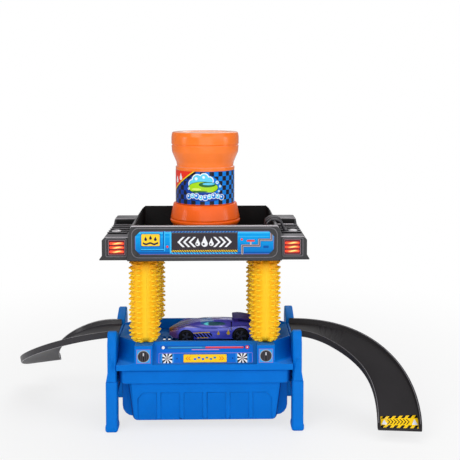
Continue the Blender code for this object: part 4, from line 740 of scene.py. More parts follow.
def rod(name: str, points: Sequence[Vector], radius: float, closed: bool = False) -> Mesh:
    """Round rod along a run of points, closed into a loop if asked."""
    rings = []
    count = len(points)
    side = Vector((0.0, 0.0, 1.0))
    for index, point in enumerate(points):
        before = points[index - 1] if closed or index else point
        after = points[(index + 1) % count] if closed or index < count - 1 else point
        ahead = (after - before).normalized()
        side = (side - ahead * side.dot(ahead)).normalized()
        other = ahead.cross(side)
        angles = [math.tau * step / ROD_SIDES for step in range(ROD_SIDES)]
        rings.append([point + (side * math.cos(a) + other * math.sin(a)) * radius for a in angles])
    return loft(name, rings, closed)


def spline(
    a: Vector | float, b: Vector | float, c: Vector | float, d: Vector | float, share: float
) -> Vector | float:
    """Value at a share of the way from b to c, on the smooth curve through all four."""
    return 0.5 * (
        2 * b
        + (c - a) * share
        + (2 * a - 5 * b + 4 * c - d) * share**2
        + (3 * b - a - 3 * c + d) * share**3
    )


def smooth_run(points: Sequence[Vector], steps: int = 5) -> list[Vector]:
    """Points of a smooth curve through those given."""
    run = []
    for index in range(len(points) - 1):
        near = [points[min(max(index + k, 0), len(points) - 1)] for k in (-1, 0, 1, 2)]
        run += [spline(*near, step / steps) for step in range(steps)]
    return [*run, points[-1]]


# Painted sheen: its tops are a paler blue.
BLUE = Plastic(
    "blue_shell", srgb(0, 116, 214), 0.45, mottle=0.03, top=srgb(62, 126, 204), top_sheen_share=0.35,
    specular=0.08
)
# Painted shade: the tray's sideways faces are dark navy.
TRAY_BLUE = Plastic(
    "tray_blue", srgb(0, 113, 211), 0.42, grain_depth_mm=0.006, mottle=0.03, specular=0.08,
    side=srgb(2, 44, 118)
)
# Painted sheen on its tops and painted highlights on its chamfers near the roof's top.
CHARCOAL = Plastic(
    "roof_charcoal", srgb(60, 60, 62), 0.46, 0.5, 0.02, specular=0.25, top=srgb(112, 110, 114),
    rim=srgb(214, 208, 214)
)
# Painted highlight: the slats' tops are paler.
SLAT_GREY = Plastic("slat_grey", srgb(98, 97, 101), 0.4, specular=0.3, top=srgb(132, 130, 134))
# Painted highlight: pale grey for the beads round the signs and lamps.
BEAD_HIGHLIGHT_GREY = Plastic("bead_grey", srgb(112, 110, 115), 0.35, specular=0.3)
BLACK = Plastic("basin_black", srgb(24, 24, 25), 0.5, grain_depth_mm=0.015, specular=0.15)
RAMP_BLACK = Plastic("ramp_black", srgb(42, 40, 42), 0.5, grain_depth_mm=0.008, specular=0.15)
# Painted highlight: pale grey for the thin lips along the entrance ramp's edges.
RAMP_HIGHLIGHT_LIP = Plastic("ramp_rim", srgb(118, 116, 121), 0.3, specular=0.4)
# Painted light: the exit ramp is the same black plastic, made lighter here.
EXIT_LIT_BLACK = Plastic(
    "exit_ramp_black", srgb(48, 46, 50), 0.42, grain_depth_mm=0.008, specular=0.3, coat=0.2
)
# Painted highlight: paler grey for the thin lips along the exit ramp's edges.
EXIT_HIGHLIGHT_LIP = Plastic("exit_ramp_rim", srgb(168, 166, 170), 0.3, specular=0.5)
POST_YELLOW = Plastic("post_yellow", srgb(235, 160, 20), 0.4)
# Painted sheen: the jar's tops and ledges are pale pink.
ORANGE = Plastic(
    "jar_orange", srgb(255, 124, 30), 0.26, 0.45, 0.002, 0.01, top=srgb(255, 176, 136), coat=0.4,
    specular=0.3
)
CAP_ORANGE = Plastic(
    "cap_orange", srgb(255, 102, 16), 0.32, 0.45, 0.003, 0.01, coat=0.2, specular=0.2
)
HOSE_BLACK = Plastic("hose_black", srgb(48, 46, 52), 0.3, coat=0.4)
SEAL_BLACK = Plastic("seal_black", srgb(30, 30, 30), 0.7)
TYRE_BLACK = Plastic("tyre_black", srgb(12, 12, 14), 0.5, specular=0.2)
CHASSIS_BLACK = Plastic("chassis_black", srgb(28, 28, 30), 0.5)
BUTTON_GREY = Plastic("wing_button_grey", srgb(186, 184, 188), 0.25, grain_depth_mm=0.004, coat=0.4)
RIM_GREY = Plastic("rim_grey", srgb(46, 50, 64), 0.3, coat=0.4)
AXLE_GREY = Plastic("axle_grey", srgb(150, 150, 155), 0.3)
SPOILER_PURPLE = Plastic(
    "spoiler_purple", srgb(50, 34, 122), 0.5, grain_mm=2.4, mottle=0.12, specular=0.08
)


@dataclass
class Studio:
    """Camera, lamps and the pale floor round the set."""

    eye: Point3 = (0.00802, -0.65965, 0.27807)
    yaw: float = math.radians(1.202)
    pitch: float = math.radians(2.961)
    focal_share: float = 752.61 / 460
    sensor_mm: float = 36.0
    shift_up: float = -0.2
    floor_half: float = 3.0
    floor_shades: Point2 = (0.86, 0.9)
    floor_seen: float = 0.72
    floor_fade: Point2 = (0.16, 0.55)
    room_light: float = 0.32
    aim: Point3 = (0.0, 0.0, 0.12)
    lamps: tuple[tuple[str, Point3, float, float], ...] = (
        ("key", (-0.7, -1.1, 1.1), 0.9, 8.0),
        ("front", (0.1, -1.4, 0.16), 1.2, 7.4),
        ("fill", (1.0, -0.9, 0.6), 1.0, 4.0),
        ("left_strip", (-1.2, -0.35, 0.3), 0.3, 1.2),
        ("right_strip", (1.2, -0.35, 0.3), 0.3, 1.2),
        ("top", (0.1, 0.1, 1.3), 0.9, 4.0),
        ("rear", (0.2, 1.2, 0.9), 0.8, 3.0),
    )

    def camera(self) -> None:
        """Set the camera where the photograph was taken from."""
        data = bpy.data.cameras.new("camera")
        data.sensor_width = self.sensor_mm
        data.lens = self.focal_share * self.sensor_mm
        data.shift_y = self.shift_up
        camera = bpy.data.objects.new("camera", data)
        camera.location = self.eye
        camera.rotation_euler = (math.pi / 2 - self.pitch, 0.0, -self.yaw)
        bpy.context.scene.collection.objects.link(camera)
        bpy.context.scene.camera = camera

    def lamp(self, name: str, place: Point3, size: float, power: float) -> None:
        """Hang one soft square lamp that faces the set.

        Args:
            name: Name of the lamp.
            place: Where it hangs.
            size: Length of its side.
            power: Its power in watts.
        """
        data = bpy.data.lights.new(name, "AREA")
        data.size = size
        data.energy = power
        lamp = bpy.data.objects.new(name, data)
        lamp.location = place
        turn = (Vector(self.aim) - Vector(place)).to_track_quat("-Z", "Y")
        lamp.rotation_euler = turn.to_euler()
        bpy.context.scene.collection.objects.link(lamp)

    def world(self) -> None:
        """Light the room evenly and show white behind the set."""
        world = bpy.data.worlds.new("room")
        world.use_nodes = True
        bpy.context.scene.world = world
        tree = world.node_tree
        backdrop = tree.nodes["Background"]
        path = tree.nodes.new("ShaderNodeLightPath")
        level = tree.nodes.new("ShaderNodeMapRange")
        level.inputs["To Min"].default_value = self.room_light
        tree.links.new(path.outputs["Is Camera Ray"], level.inputs["Value"])
        tree.links.new(level.outputs["Result"], backdrop.inputs["Strength"])
        backdrop.inputs["Color"].default_value = (1.0, 1.0, 1.0, 1.0)

    def floor(self) -> None:
        """Lay the plain pale floor."""
        work = bmesh.new()
        bmesh.ops.create_grid(work, x_segments=2, y_segments=2, size=self.floor_half)
        floor = bpy.data.objects.new("floor", mesh_from(work, "floor"))
        bpy.context.scene.collection.objects.link(floor)
        shader = Shader("pale_floor")
        haze = shader.noise(300.0)
        dark, pale = ((shade,) * 3 for shade in self.floor_shades)
        ground = shader.mix(haze, dark, pale)
        shader.surface_values(Base_Color=ground, Roughness=0.9, Specular_IOR_Level=0.0)
        white = shader.node("ShaderNodeEmission", {}, {"Color": (1, 1, 1), "Strength": 1.0})
        path = shader.node("ShaderNodeLightPath")
        across, along, _ = shader.place("Object", 1.0)
        far = across.hypot(along).ease(*self.floor_fade)
        share = self.floor_seen + far * (1 - self.floor_seen)
        seen = Wire(shader, path.outputs["Is Camera Ray"]) * share
        sockets = {0: seen, 1: shader.surface.outputs["BSDF"], 2: white.outputs["Emission"]}
        blend = shader.node("ShaderNodeMixShader", {}, sockets)
        output = shader.tree.nodes["Material Output"]
        shader.tree.links.new(blend.outputs[0], output.inputs["Surface"])
        floor.data.materials.append(shader.material)

    def build(self) -> None:
        """Set up the whole studio."""
        self.camera()
        self.world()
        self.floor()
        bpy.context.scene.view_settings.view_transform = "Standard"
        for name, place, size, power in self.lamps:
            self.lamp(name, place, size, power)


class FasciaPrint:
    """Print of the deck's panel: temperature bar, tile and pinwheels, in millimetres."""

    BLUE = srgb(0, 106, 212)
    PALE = srgb(70, 168, 232)
    NAVY = srgb(8, 58, 132)
    STEEL = srgb(56, 128, 176)
    WHITE = srgb(238, 240, 246)
    RED = srgb(226, 44, 46)
    ROSE = srgb(206, 150, 190)
    YELLOW = srgb(252, 206, 40)
    ORANGE = srgb(238, 112, 30)
    INK = srgb(26, 24, 34)
    GREY = srgb(150, 142, 150)

    def __init__(self) -> None:
        """Paint the film, from the panel's middle and up its slope."""
        shader = Shader("fascia_print")
        across, up = shader.sheet()
        self.canvas = Canvas(shader, across, up, self.BLUE)
        for draw in (self.temperature_bar, self.tile, self.pinwheels):
            draw(self.canvas)

    def temperature_bar(self, c: Canvas) -> None:
        """Bar that turns from cold blue to hot red between two dots."""
        c.paint(c.bar((0.2, 13.2), (37.6, 1.35), 0.6) * 0.55, self.NAVY)
        c.fill(self.STEEL, (-15.4, 13.0), (15.8, 0.75), 0.4)
        c.fill(self.PALE, (-15.4, 13.15), (13.0, 0.2))
        c.fill(self.RED, (16.4, 13.0), (16.0, 0.75), 0.4)
        c.fill(self.ROSE, (16.4, 13.4), (15.4, 0.2))
        c.dot(self.WHITE, (-35.0, 13.0), 1.25)
        c.dot(self.RED, (35.6, 13.0), 1.5)
        c.dot(self.WHITE, (35.6, 13.0), 0.6)
        c.fill(self.ROSE, (0.4, 11.2), (11.4, 0.3))

    def tile(self, c: Canvas) -> None:
        """Yellow tile with a dashed wave between two pairs of brackets."""
        outer = c.bar((0.7, 4.4), (39.2, 4.2), 0.8)
        inner = c.bar((0.7, 4.4), (38.95, 3.95), 0.6)
        c.paint(outer * (1 - inner) * 0.7, self.ROSE)
        c.fill(self.NAVY, (0.2, 4.1), (18.4, 3.6), 0.8)
        c.fill(self.YELLOW, (0.2, 4.1), (18.0, 3.2), 0.6)
        for step in range(6):
            x = -8.2 + step * 3.3
            y = 4.1 + 0.55 * (1 if step % 2 else -1)
            c.fill(self.BLUE if step < 3 else self.STEEL, (x, y), (1.2, 0.75), 0.6)
        for side in Side:
            for x in (13.6, 15.6):
                bracket = c.chevron((side.value * x, 4.1), 1.5, 0.9, side.value)
                c.paint(bracket, self.ORANGE)

    def pinwheels(self, c: Canvas) -> None:
        """Black and white pinwheel at each end."""
        for side in Side:
            x = side.value * 31.3
            square = c.bar((x, 4.1), (4.1, 3.9), 0.3)
            c.paint(c.bar((x, 4.1), (5.6, 4.0), 0.3) * 0.5, self.PALE)
            c.paint(square, self.INK)
            c.paint(square * c.pinwheel((x, 4.1), 8), self.WHITE)
            c.dot(self.GREY, (x, 4.1), 0.7)
            c.dot(self.NAVY, (side.value * 23.2, 4.1), 0.6)


class GrillePrint:
    """Round black grille on a pale blue square, in millimetres from its middle."""

    def __init__(self) -> None:
        """Paint the square, its rim and the grille's slits."""
        shader = Shader("grille_print")
        across, up = shader.sheet()
        c = Canvas(shader, across, up, srgb(48, 158, 232))
        c.paint(1 - c.bar((0.0, 0.0), (5.5, 5.5), 0.2), srgb(170, 96, 170))
        c.dot(srgb(176, 178, 186), (0.0, 0.0), 5.1)
        c.dot(srgb(64, 62, 66), (0.0, -0.1), 4.7)
        slits = (abs(across) % 1.5 < 0.55) * c.disc((0.0, -0.1), 4.0)
        c.paint(slits, srgb(24, 24, 28))
        c.fill(srgb(206, 206, 210), (0.0, 1.7), (0.45, 1.3), 0.3)
        self.canvas = c


@dataclass
class Deck:
    """Bath deck, end frames, legs and tray."""

    panel_foot_reach: float = 0.0425
    ledge_top: float = 0.0580
    wall_top_reach: float = 0.0340
    deck_top: float = 0.0740
    pod_x: float = 0.0508
    pod_reach: float = 0.0455
    film: float = 0.00012
    film_half: float = 0.0405
    film_low: float = 0.0004
    film_high: float = 0.0152
    film_corner: float = 0.0012
    grille_z: float = 0.0652
    grille_half: float = 0.0058
    tray_rim: float = 0.0409
    tray_stretch: float = 0.055
    baffle_box: tuple[Point3, Point3] = ((-0.0300, -0.0120, 0.0612), (0.0460, 0.0180, 0.0620))
    foot_flare: float = 0.0006
    leg_corner: float = 0.0017
    leg_profile: tuple[Point2, ...] = (
        (0.0300, -0.0016), (0.0004, -0.0016), (0.0000, -0.0012), (0.0000, -0.0007),
        (0.0003, -0.0002), (0.0010, 0.0004), (0.0020, 0.0006), (0.0042, 0.0006),
        (0.0054, 0.0003), (0.0064, 0.0), (0.0418, 0.0), (0.0425, -0.0003), (0.0428, -0.0008),
        (0.0428, -0.0020),
    )

    def mouldings(self) -> None:
        """Dress the blue shells and the tray."""
        blue = BLUE.material()
        moulded("deck", "base", "blue_plastic", blue)
        for side in Side:
            moulded(f"end_frame_{words(side)}", "base", "blue_plastic", blue, 0.0)
        for place in CORNERS:
            self.leg(f"leg_{words(*place)}", blue)
        tub = moulded("collection_tray", "tray", "tray_plastic", TRAY_BLUE.material(), 0.0005)
        for vert in tub.data.vertices:
            vert.co.z -= max(0.0, self.tray_rim - vert.co.z) * self.tray_stretch

    def leg(self, node: str, material: Material) -> None:
        """Make one hollow leg with a round flared foot and a plug."""
        low, high = (Vector(corner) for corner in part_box(node))
        middle = (low + high) / 2
        half = ((high.x - low.x) / 2 - self.foot_flare, (high.y - low.y) / 2 - self.foot_flare)
        rings = []
        for height, grow in (*self.leg_profile, (high.z, self.leg_profile[-1][1])):
            corner = max(self.leg_corner + grow, self.foot_flare)
            outline = rounded((half[0] + grow, half[1] + grow), corner, 4, middle[:2])
            rings.append([(x, y, height) for x, y in outline])
        mesh = loft(node, rings)
        new_piece(f"{node}_moulding", mesh, "base", "blue_plastic", material, [node], 50.0)

    def panel(self, depth: Depth) -> Place:
        """Turn (across, up, out) into a point on a leaning panel; up runs from the ledge."""
        run = self.panel_foot_reach - self.wall_top_reach
        rise = self.deck_top - self.ledge_top
        slope = math.hypot(run, rise)

        def place(across: float, up: float, out: float) -> Vector:
            """Point of the frame."""
            reach = self.panel_foot_reach - up * run / slope + out * rise / slope
            height = self.ledge_top + up * rise / slope + out * run / slope
            return Vector((-across * depth.value, reach * depth.value, height))

        return place

    def fascia(self) -> None:
        """Lay the printed film on both leaning panels."""
        outline = octagon(self.film_half, self.film_low, self.film_high, self.film_corner)
        material = FasciaPrint().canvas.finish(0.34, 0.2)
        for depth in Depth:
            name = f"fascia_{words(depth)}"
            mesh = plate(name, outline, self.panel(depth), self.film)
            new_piece(name, mesh, "base", "blue_plastic", material)

    def grilles(self) -> None:
        """Lay a printed grille on the face under each roller."""
        material = GrillePrint().canvas.finish(0.3, 0.3)
        half = self.grille_half
        for depth, side in CORNERS:
            centre = (-side.value * depth.value * self.pod_x, self.grille_z)
            outline = rounded((half, half), 0.0, 1, centre)
            place = facing(depth, self.pod_reach)
            name = f"grille_{words(depth, side)}"
            mesh = plate(name, outline, place, self.film, centre)
            new_piece(name, mesh, "base", "blue_plastic", material)

    def baffle(self) -> None:
        """Hang a thin plate under the drain slots, clear of those at the left end."""
        work = bmesh.new()
        add_box(work, *self.baffle_box, 0.0002)
        mesh = mesh_from(work, "drain_baffle")
        new_piece("drain_baffle", mesh, "base", "blue_plastic", BLUE.material())

    def build(self) -> None:
        """Make every piece of the deck."""
        self.mouldings()
        self.baffle()
        self.fascia()
        self.grilles()


@dataclass
class BrushRollers:
    """Soft rollers with rows of flat pegs and a smooth moulding band front and rear."""

    x: float = 0.0508
    y: float = 0.0290
    bottom: float = 0.0743
    length: float = 0.0703
    core: float = 0.0106
    collar: float = 0.0065
    reach: float = 0.0031
    bore: float = 0.0028
    columns: int = 12
    rows: int = 14
    first_row: float = 0.0045
    pitch: float = 0.00439
    end_rows: tuple[float, ...] = (0.0009, 0.0024, 0.0660, 0.0683)
    taper: float = 0.0062
    rib_rise: float = 0.0005
    rib_half: float = 0.0012
    band_rise: float = 0.0007
    band_half: float = 0.0025
    seam_rise: float = 0.0006
    seam_half: float = 0.0005
    band_turn: float = math.radians(10.0)
    sides: int = 96
    levels: int = 120
    peg_root: Point2 = (0.0021, 0.0010)
    peg_tip: Point2 = (0.0016, 0.0007)
    peg_shares: tuple[Point2, ...] = (
        (-0.2, 1.2), (0.1, 1.0), (0.55, 0.45), (0.82, 0.0), (0.95, -0.8), (1.0, -1.8)
    )
    thinnest: float = 0.0001
    squareness: float = 0.7
    peg_sides: int = 12
    unevenness: float = 0.05

    def heights(self) -> list[float]:
        """Heights of the rows of pegs."""
        regular = [self.first_row + row * self.pitch for row in range(self.rows)]
        return sorted([*regular, *self.end_rows])

    def core_radius(self, height: float) -> float:
        """Radius of the core, drawn in at both ends."""
        from_end = min(height, self.length - height)
        share = math.sin(math.pi / 2 * min(1.0, from_end / self.taper))
        return self.collar + (self.core - self.collar) * share

    def skin_radius(self, turn: float, height: float) -> float:
        """Radius of the skin: the core with a rib at each row and two smooth bands."""
        core = self.core_radius(height)
        share = (core - self.collar) / (self.core - self.collar)
        nearest = min(abs(height - row) for row in self.heights())
        rib = self.rib_rise * math.exp(-((nearest / self.rib_half) ** 2) * 3)
        off = core * abs((turn + math.pi / 2) % math.pi - math.pi / 2)
        wave = math.cos(math.tau * (height - self.first_row) / self.pitch)
        waist = self.band_half * (0.94 + 0.06 * wave)
        band = self.band_rise * math.exp(-((off / waist) ** 4))
        seam = self.seam_rise * math.exp(-((off / self.seam_half) ** 2))
        return core + share * (max(rib, band) + seam)

    def add_core(self, work: BMesh) -> None:
        """Add the sleeve round its bore."""
        turns = [math.tau * side / self.sides for side in range(self.sides)]
        rings = []
        for level in range(self.levels + 1):
            height = self.length * level / self.levels
            rings.append(circle([self.skin_radius(turn, height) for turn in turns], height))
        rings += [circle([self.bore] * self.sides, height) for height in (self.length, 0.0)]
        skin(work, rings, True)

    def add_peg(
        self, work: BMesh, turn: float, height: float, chance: random.Random
    ) -> None:
        """Add one flat peg with a round tip, a little unlike its neighbours."""
        base = self.core_radius(height)
        lean = chance.uniform(-1, 1) * self.unevenness
        reach = self.reach * (1 + chance.uniform(-1, 0) * self.unevenness * 2)
        outward = Vector((math.sin(turn), -math.cos(turn), lean)).normalized()
        along = Vector((math.cos(turn), math.sin(turn), chance.uniform(-1, 1) * self.unevenness))
        lift = along.cross(outward).normalized()
        rings = []
        for rise, girth in self.peg_shares:
            wide, high = (
                max(tip + (root - tip) * girth, self.thinnest)
                for tip, root in zip(self.peg_tip, self.peg_root)
            )
            centre = outward * (base + reach * rise) + Vector((0.0, 0.0, height))
            ring = []
            for step in range(self.peg_sides):
                angle = math.tau * step / self.peg_sides
                turned = (math.cos(angle), math.sin(angle))
                a, b = (math.copysign(abs(part) ** self.squareness, part) for part in turned)
                ring.append(centre + along * wide * a + lift * high * b)
            rings.append(ring)
        skin(work, rings)

    def mesh(self) -> Mesh:
        """Make the roller that all four share."""
        work = bmesh.new()
        chance = random.Random(11)
        self.add_core(work)
        for height in self.heights():
            for column in range(self.columns):
                if column % (self.columns // 2):
                    self.add_peg(work, math.tau * column / self.columns, height, chance)
        return mesh_from(work, "brush_roller")

    def build(self) -> None:
        """Stand the four rollers on their posts."""
        mesh = self.mesh()
        length = self.length / MM
        # The rear rollers take a deeper copy of the rubber as painted shade.
        shaded = ("brush_rubber_shaded", srgb(255, 214, 48), srgb(255, 194, 22))
        rubber = {
            Depth.FRONT: BrushRubber(length).material(),
            Depth.REAR: BrushRubber(length, *shaded).material(),
        }
        post = POST_YELLOW.material()
        for depth, side in CORNERS:
            place = words(depth, side)
            spot = (side.value * self.x, depth.value * self.y, self.bottom)
            look = ("roller_rubber", rubber[depth], [f"wash_roller_{place}"], 50.0)
            brush = new_piece(f"brush_{place}", mesh, f"roller_{place}", *look, spot)
            if (depth, side) == (Depth.FRONT, Side.LEFT):
                brush.rotation_euler.z = self.band_turn
            moulded(f"roller_post_{place}", "base", "post_plastic", post, 0.0002)


class SignPrint:
    """Print of the roof's sign: wash panel, dark plate and pipework."""

    LIGHT = srgb(64, 192, 242)
    SKY = srgb(0, 154, 228)
    BLUE = srgb(0, 118, 198)
    NAVY = srgb(0, 84, 166)
    PLATE = srgb(54, 50, 56)
    YELLOW = srgb(250, 208, 50)
    INK = srgb(28, 30, 62)
    WHITE = srgb(236, 238, 242)
    RED = srgb(232, 60, 40)
    STEEL = srgb(190, 178, 176)
    STEEL_SHADE = srgb(96, 84, 88)
    BORDER = srgb(150, 74, 110)

    def __init__(self, half: float, height: float) -> None:
        """Paint the whole print on a sheet of the given half length and height, in millimetres."""
        shader = Shader("sign_print")
        across, up = shader.sheet()
        self.height = height
        fade = up.ease(1.0, height - 5.0)
        self.canvas = Canvas(shader, across, up, shader.mix(fade, self.BLUE, self.SKY))
        self.ground(half)
        inner = self.canvas.bar((0.0, height / 2), (half - 0.5, height / 2 - 0.5), 4.2)
        self.canvas.paint((1 - inner) * 0.6, self.BORDER)
        for draw in (self.wash_panel, self.plate, self.pipework):
            draw(self.canvas)

    def ground(self, half: float) -> None:
        """Lighter top bands and a navy foot."""
        c, top = self.canvas, self.height
        c.fill(self.LIGHT, (0.0, top - 1.4), (half, 0.55))
        c.fill(c.shader.mix(0.5, self.SKY, self.LIGHT), (0.0, top - 4.6), (half, 0.35))
        c.fill(self.NAVY, (0.0, 1.5), (half, 0.6))

    def wash_panel(self, c: Canvas) -> None:
        """Yellow tile with falling drops over a wave, and a seam beside it."""
        c.fill(self.NAVY, (-44.4, 12.1), (8.1, 5.5), 1.3)
        c.fill(self.YELLOW, (-44.4, 12.1), (7.5, 4.9), 1.0)
        for x, y in ((-48.4, 12.6), (-44.4, 13.6), (-40.4, 12.6)):
            c.paint(c.drop((x, y), 1.15, 2.6), self.INK)
        wave = c.shader.maths("SINE", c.across * 0.95) * 0.5
        crest = c.cover(0.75 - abs(c.up - wave - 9.2))
        c.paint(crest * c.bar((-44.4, 9.2), (6.3, 2.0)), self.INK)
        c.fill(self.NAVY, (-33.6, 11.4), (0.45, 8.4))
        c.fill(self.LIGHT, (-32.9, 11.4), (0.35, 8.4))
        c.fill(self.NAVY, (-43.0, 3.6), (9.4, 0.45))
        c.fill(self.LIGHT, (-43.0, 4.3), (9.4, 0.35))
        c.dot(self.RED, (-30.6, 6.6), 0.95)
        c.fill(self.LIGHT, (-28.0, 10.0), (0.6, 9.0))

    def plate(self, c: Canvas) -> None:
        """Dark plate with white drops and arrow brackets over a hazard strip."""
        c.paint(c.bar((0.0, 18.9), (27.4, 1.0)) * c.stripes(2.6, -1.0), self.NAVY)
        c.fill(self.PLATE, (0.0, 10.4), (27.2, 8.0))
        c.fill(self.STEEL_SHADE, (0.0, 17.9), (27.2, 0.3))
        for x, radius in ((-5.6, 1.9), (0.0, 2.6), (5.6, 1.9)):
            c.paint(c.drop((x, 9.0), radius, radius * 2.5), self.WHITE)
            c.dot(self.PLATE, (x - radius * 0.3, 9.0 - radius * 0.15), radius * 0.36)
        for side in Side:
            for step in range(3):
                x = side.value * (12.2 + step * 4.6)
                c.paint(c.chevron((x, 10.4), 4.2, 2.0, side.value), self.WHITE)
        c.fill(self.INK, (0.0, 3.0), (27.2, 1.15))
        c.paint(c.bar((0.0, 3.0), (27.2, 0.8)) * c.stripes(1.9, 1.0), self.YELLOW)
        c.paint(c.bar((0.0, 1.1), (27.4, 0.7)) * c.stripes(2.6, 1.0), self.LIGHT)

    def pipework(self, c: Canvas) -> None:
        """Pale pipe that climbs in steps, with a red valve wheel."""
        runs = (
            ((31.0, 4.0), (0.85, 4.0)),
            ((38.0, 7.2), (7.85, 0.85)),
            ((45.0, 9.6), (0.85, 3.2)),
            ((50.0, 12.0), (5.8, 0.85)),
            ((55.0, 15.2), (0.85, 3.2)),
        )
        coats = ((0.45, self.NAVY), (0.0, self.STEEL), (-0.45, self.STEEL_SHADE))
        for grow, colour in coats:
            for centre, half in runs:
                c.fill(colour, centre, (half[0] + grow, half[1] + grow), 0.3)
        c.fill(self.STEEL, (38.0, 9.4), (0.6, 1.6))
        c.fill(self.RED, (38.0, 11.3), (3.3, 0.75), 0.6)
        c.dot(self.RED, (30.6, 12.4), 0.95)
        c.fill(self.NAVY, (50.6, 6.2), (2.2, 1.0), 0.4)


@dataclass(frozen=True)
class LampPrint:
    """Dark red lamp print with three bars, yellow in the middle, that gives off a faint painted
    glow.
    """

    half: Point2 = (6.9, 6.2)
    pitch: float = 3.4
    bar_half: Point2 = (6.0, 1.1)
    glow: float = 0.28

    def material(self) -> Material:
        """Build the print."""
        shader = Shader("lamp_print")
        across, up = shader.sheet()
        canvas = Canvas(shader, across, up, srgb(96, 20, 30))
        frame_mask = canvas.bar((0.0, 0.0), (self.half[0] - 0.3, self.half[1] - 0.3), 0.4)
        canvas.paint(1 - frame_mask, srgb(150, 120, 128))
        wave = shader.maths("SINE", across * 0.55) * 0.35
        for row in (-1, 0, 1):
            middle = row * self.pitch
            bar = canvas.bar((0.0, middle), self.bar_half, 0.8)
            canvas.paint(bar, srgb(250, 72, 42))
            near = 1 - abs(across - 0.6).ease(0.5, 5.2)
            level = 1 - abs(up - middle - wave).ease(0.1, 1.0)
            canvas.paint(bar * (near * level), srgb(255, 226, 130))
        material = canvas.finish(0.22, 0.3)
        # Painted glow: the print emits a little light of its own, though it is no lamp.
        shader.surface_values(Emission_Color=canvas.colour, Emission_Strength=self.glow)
        return material


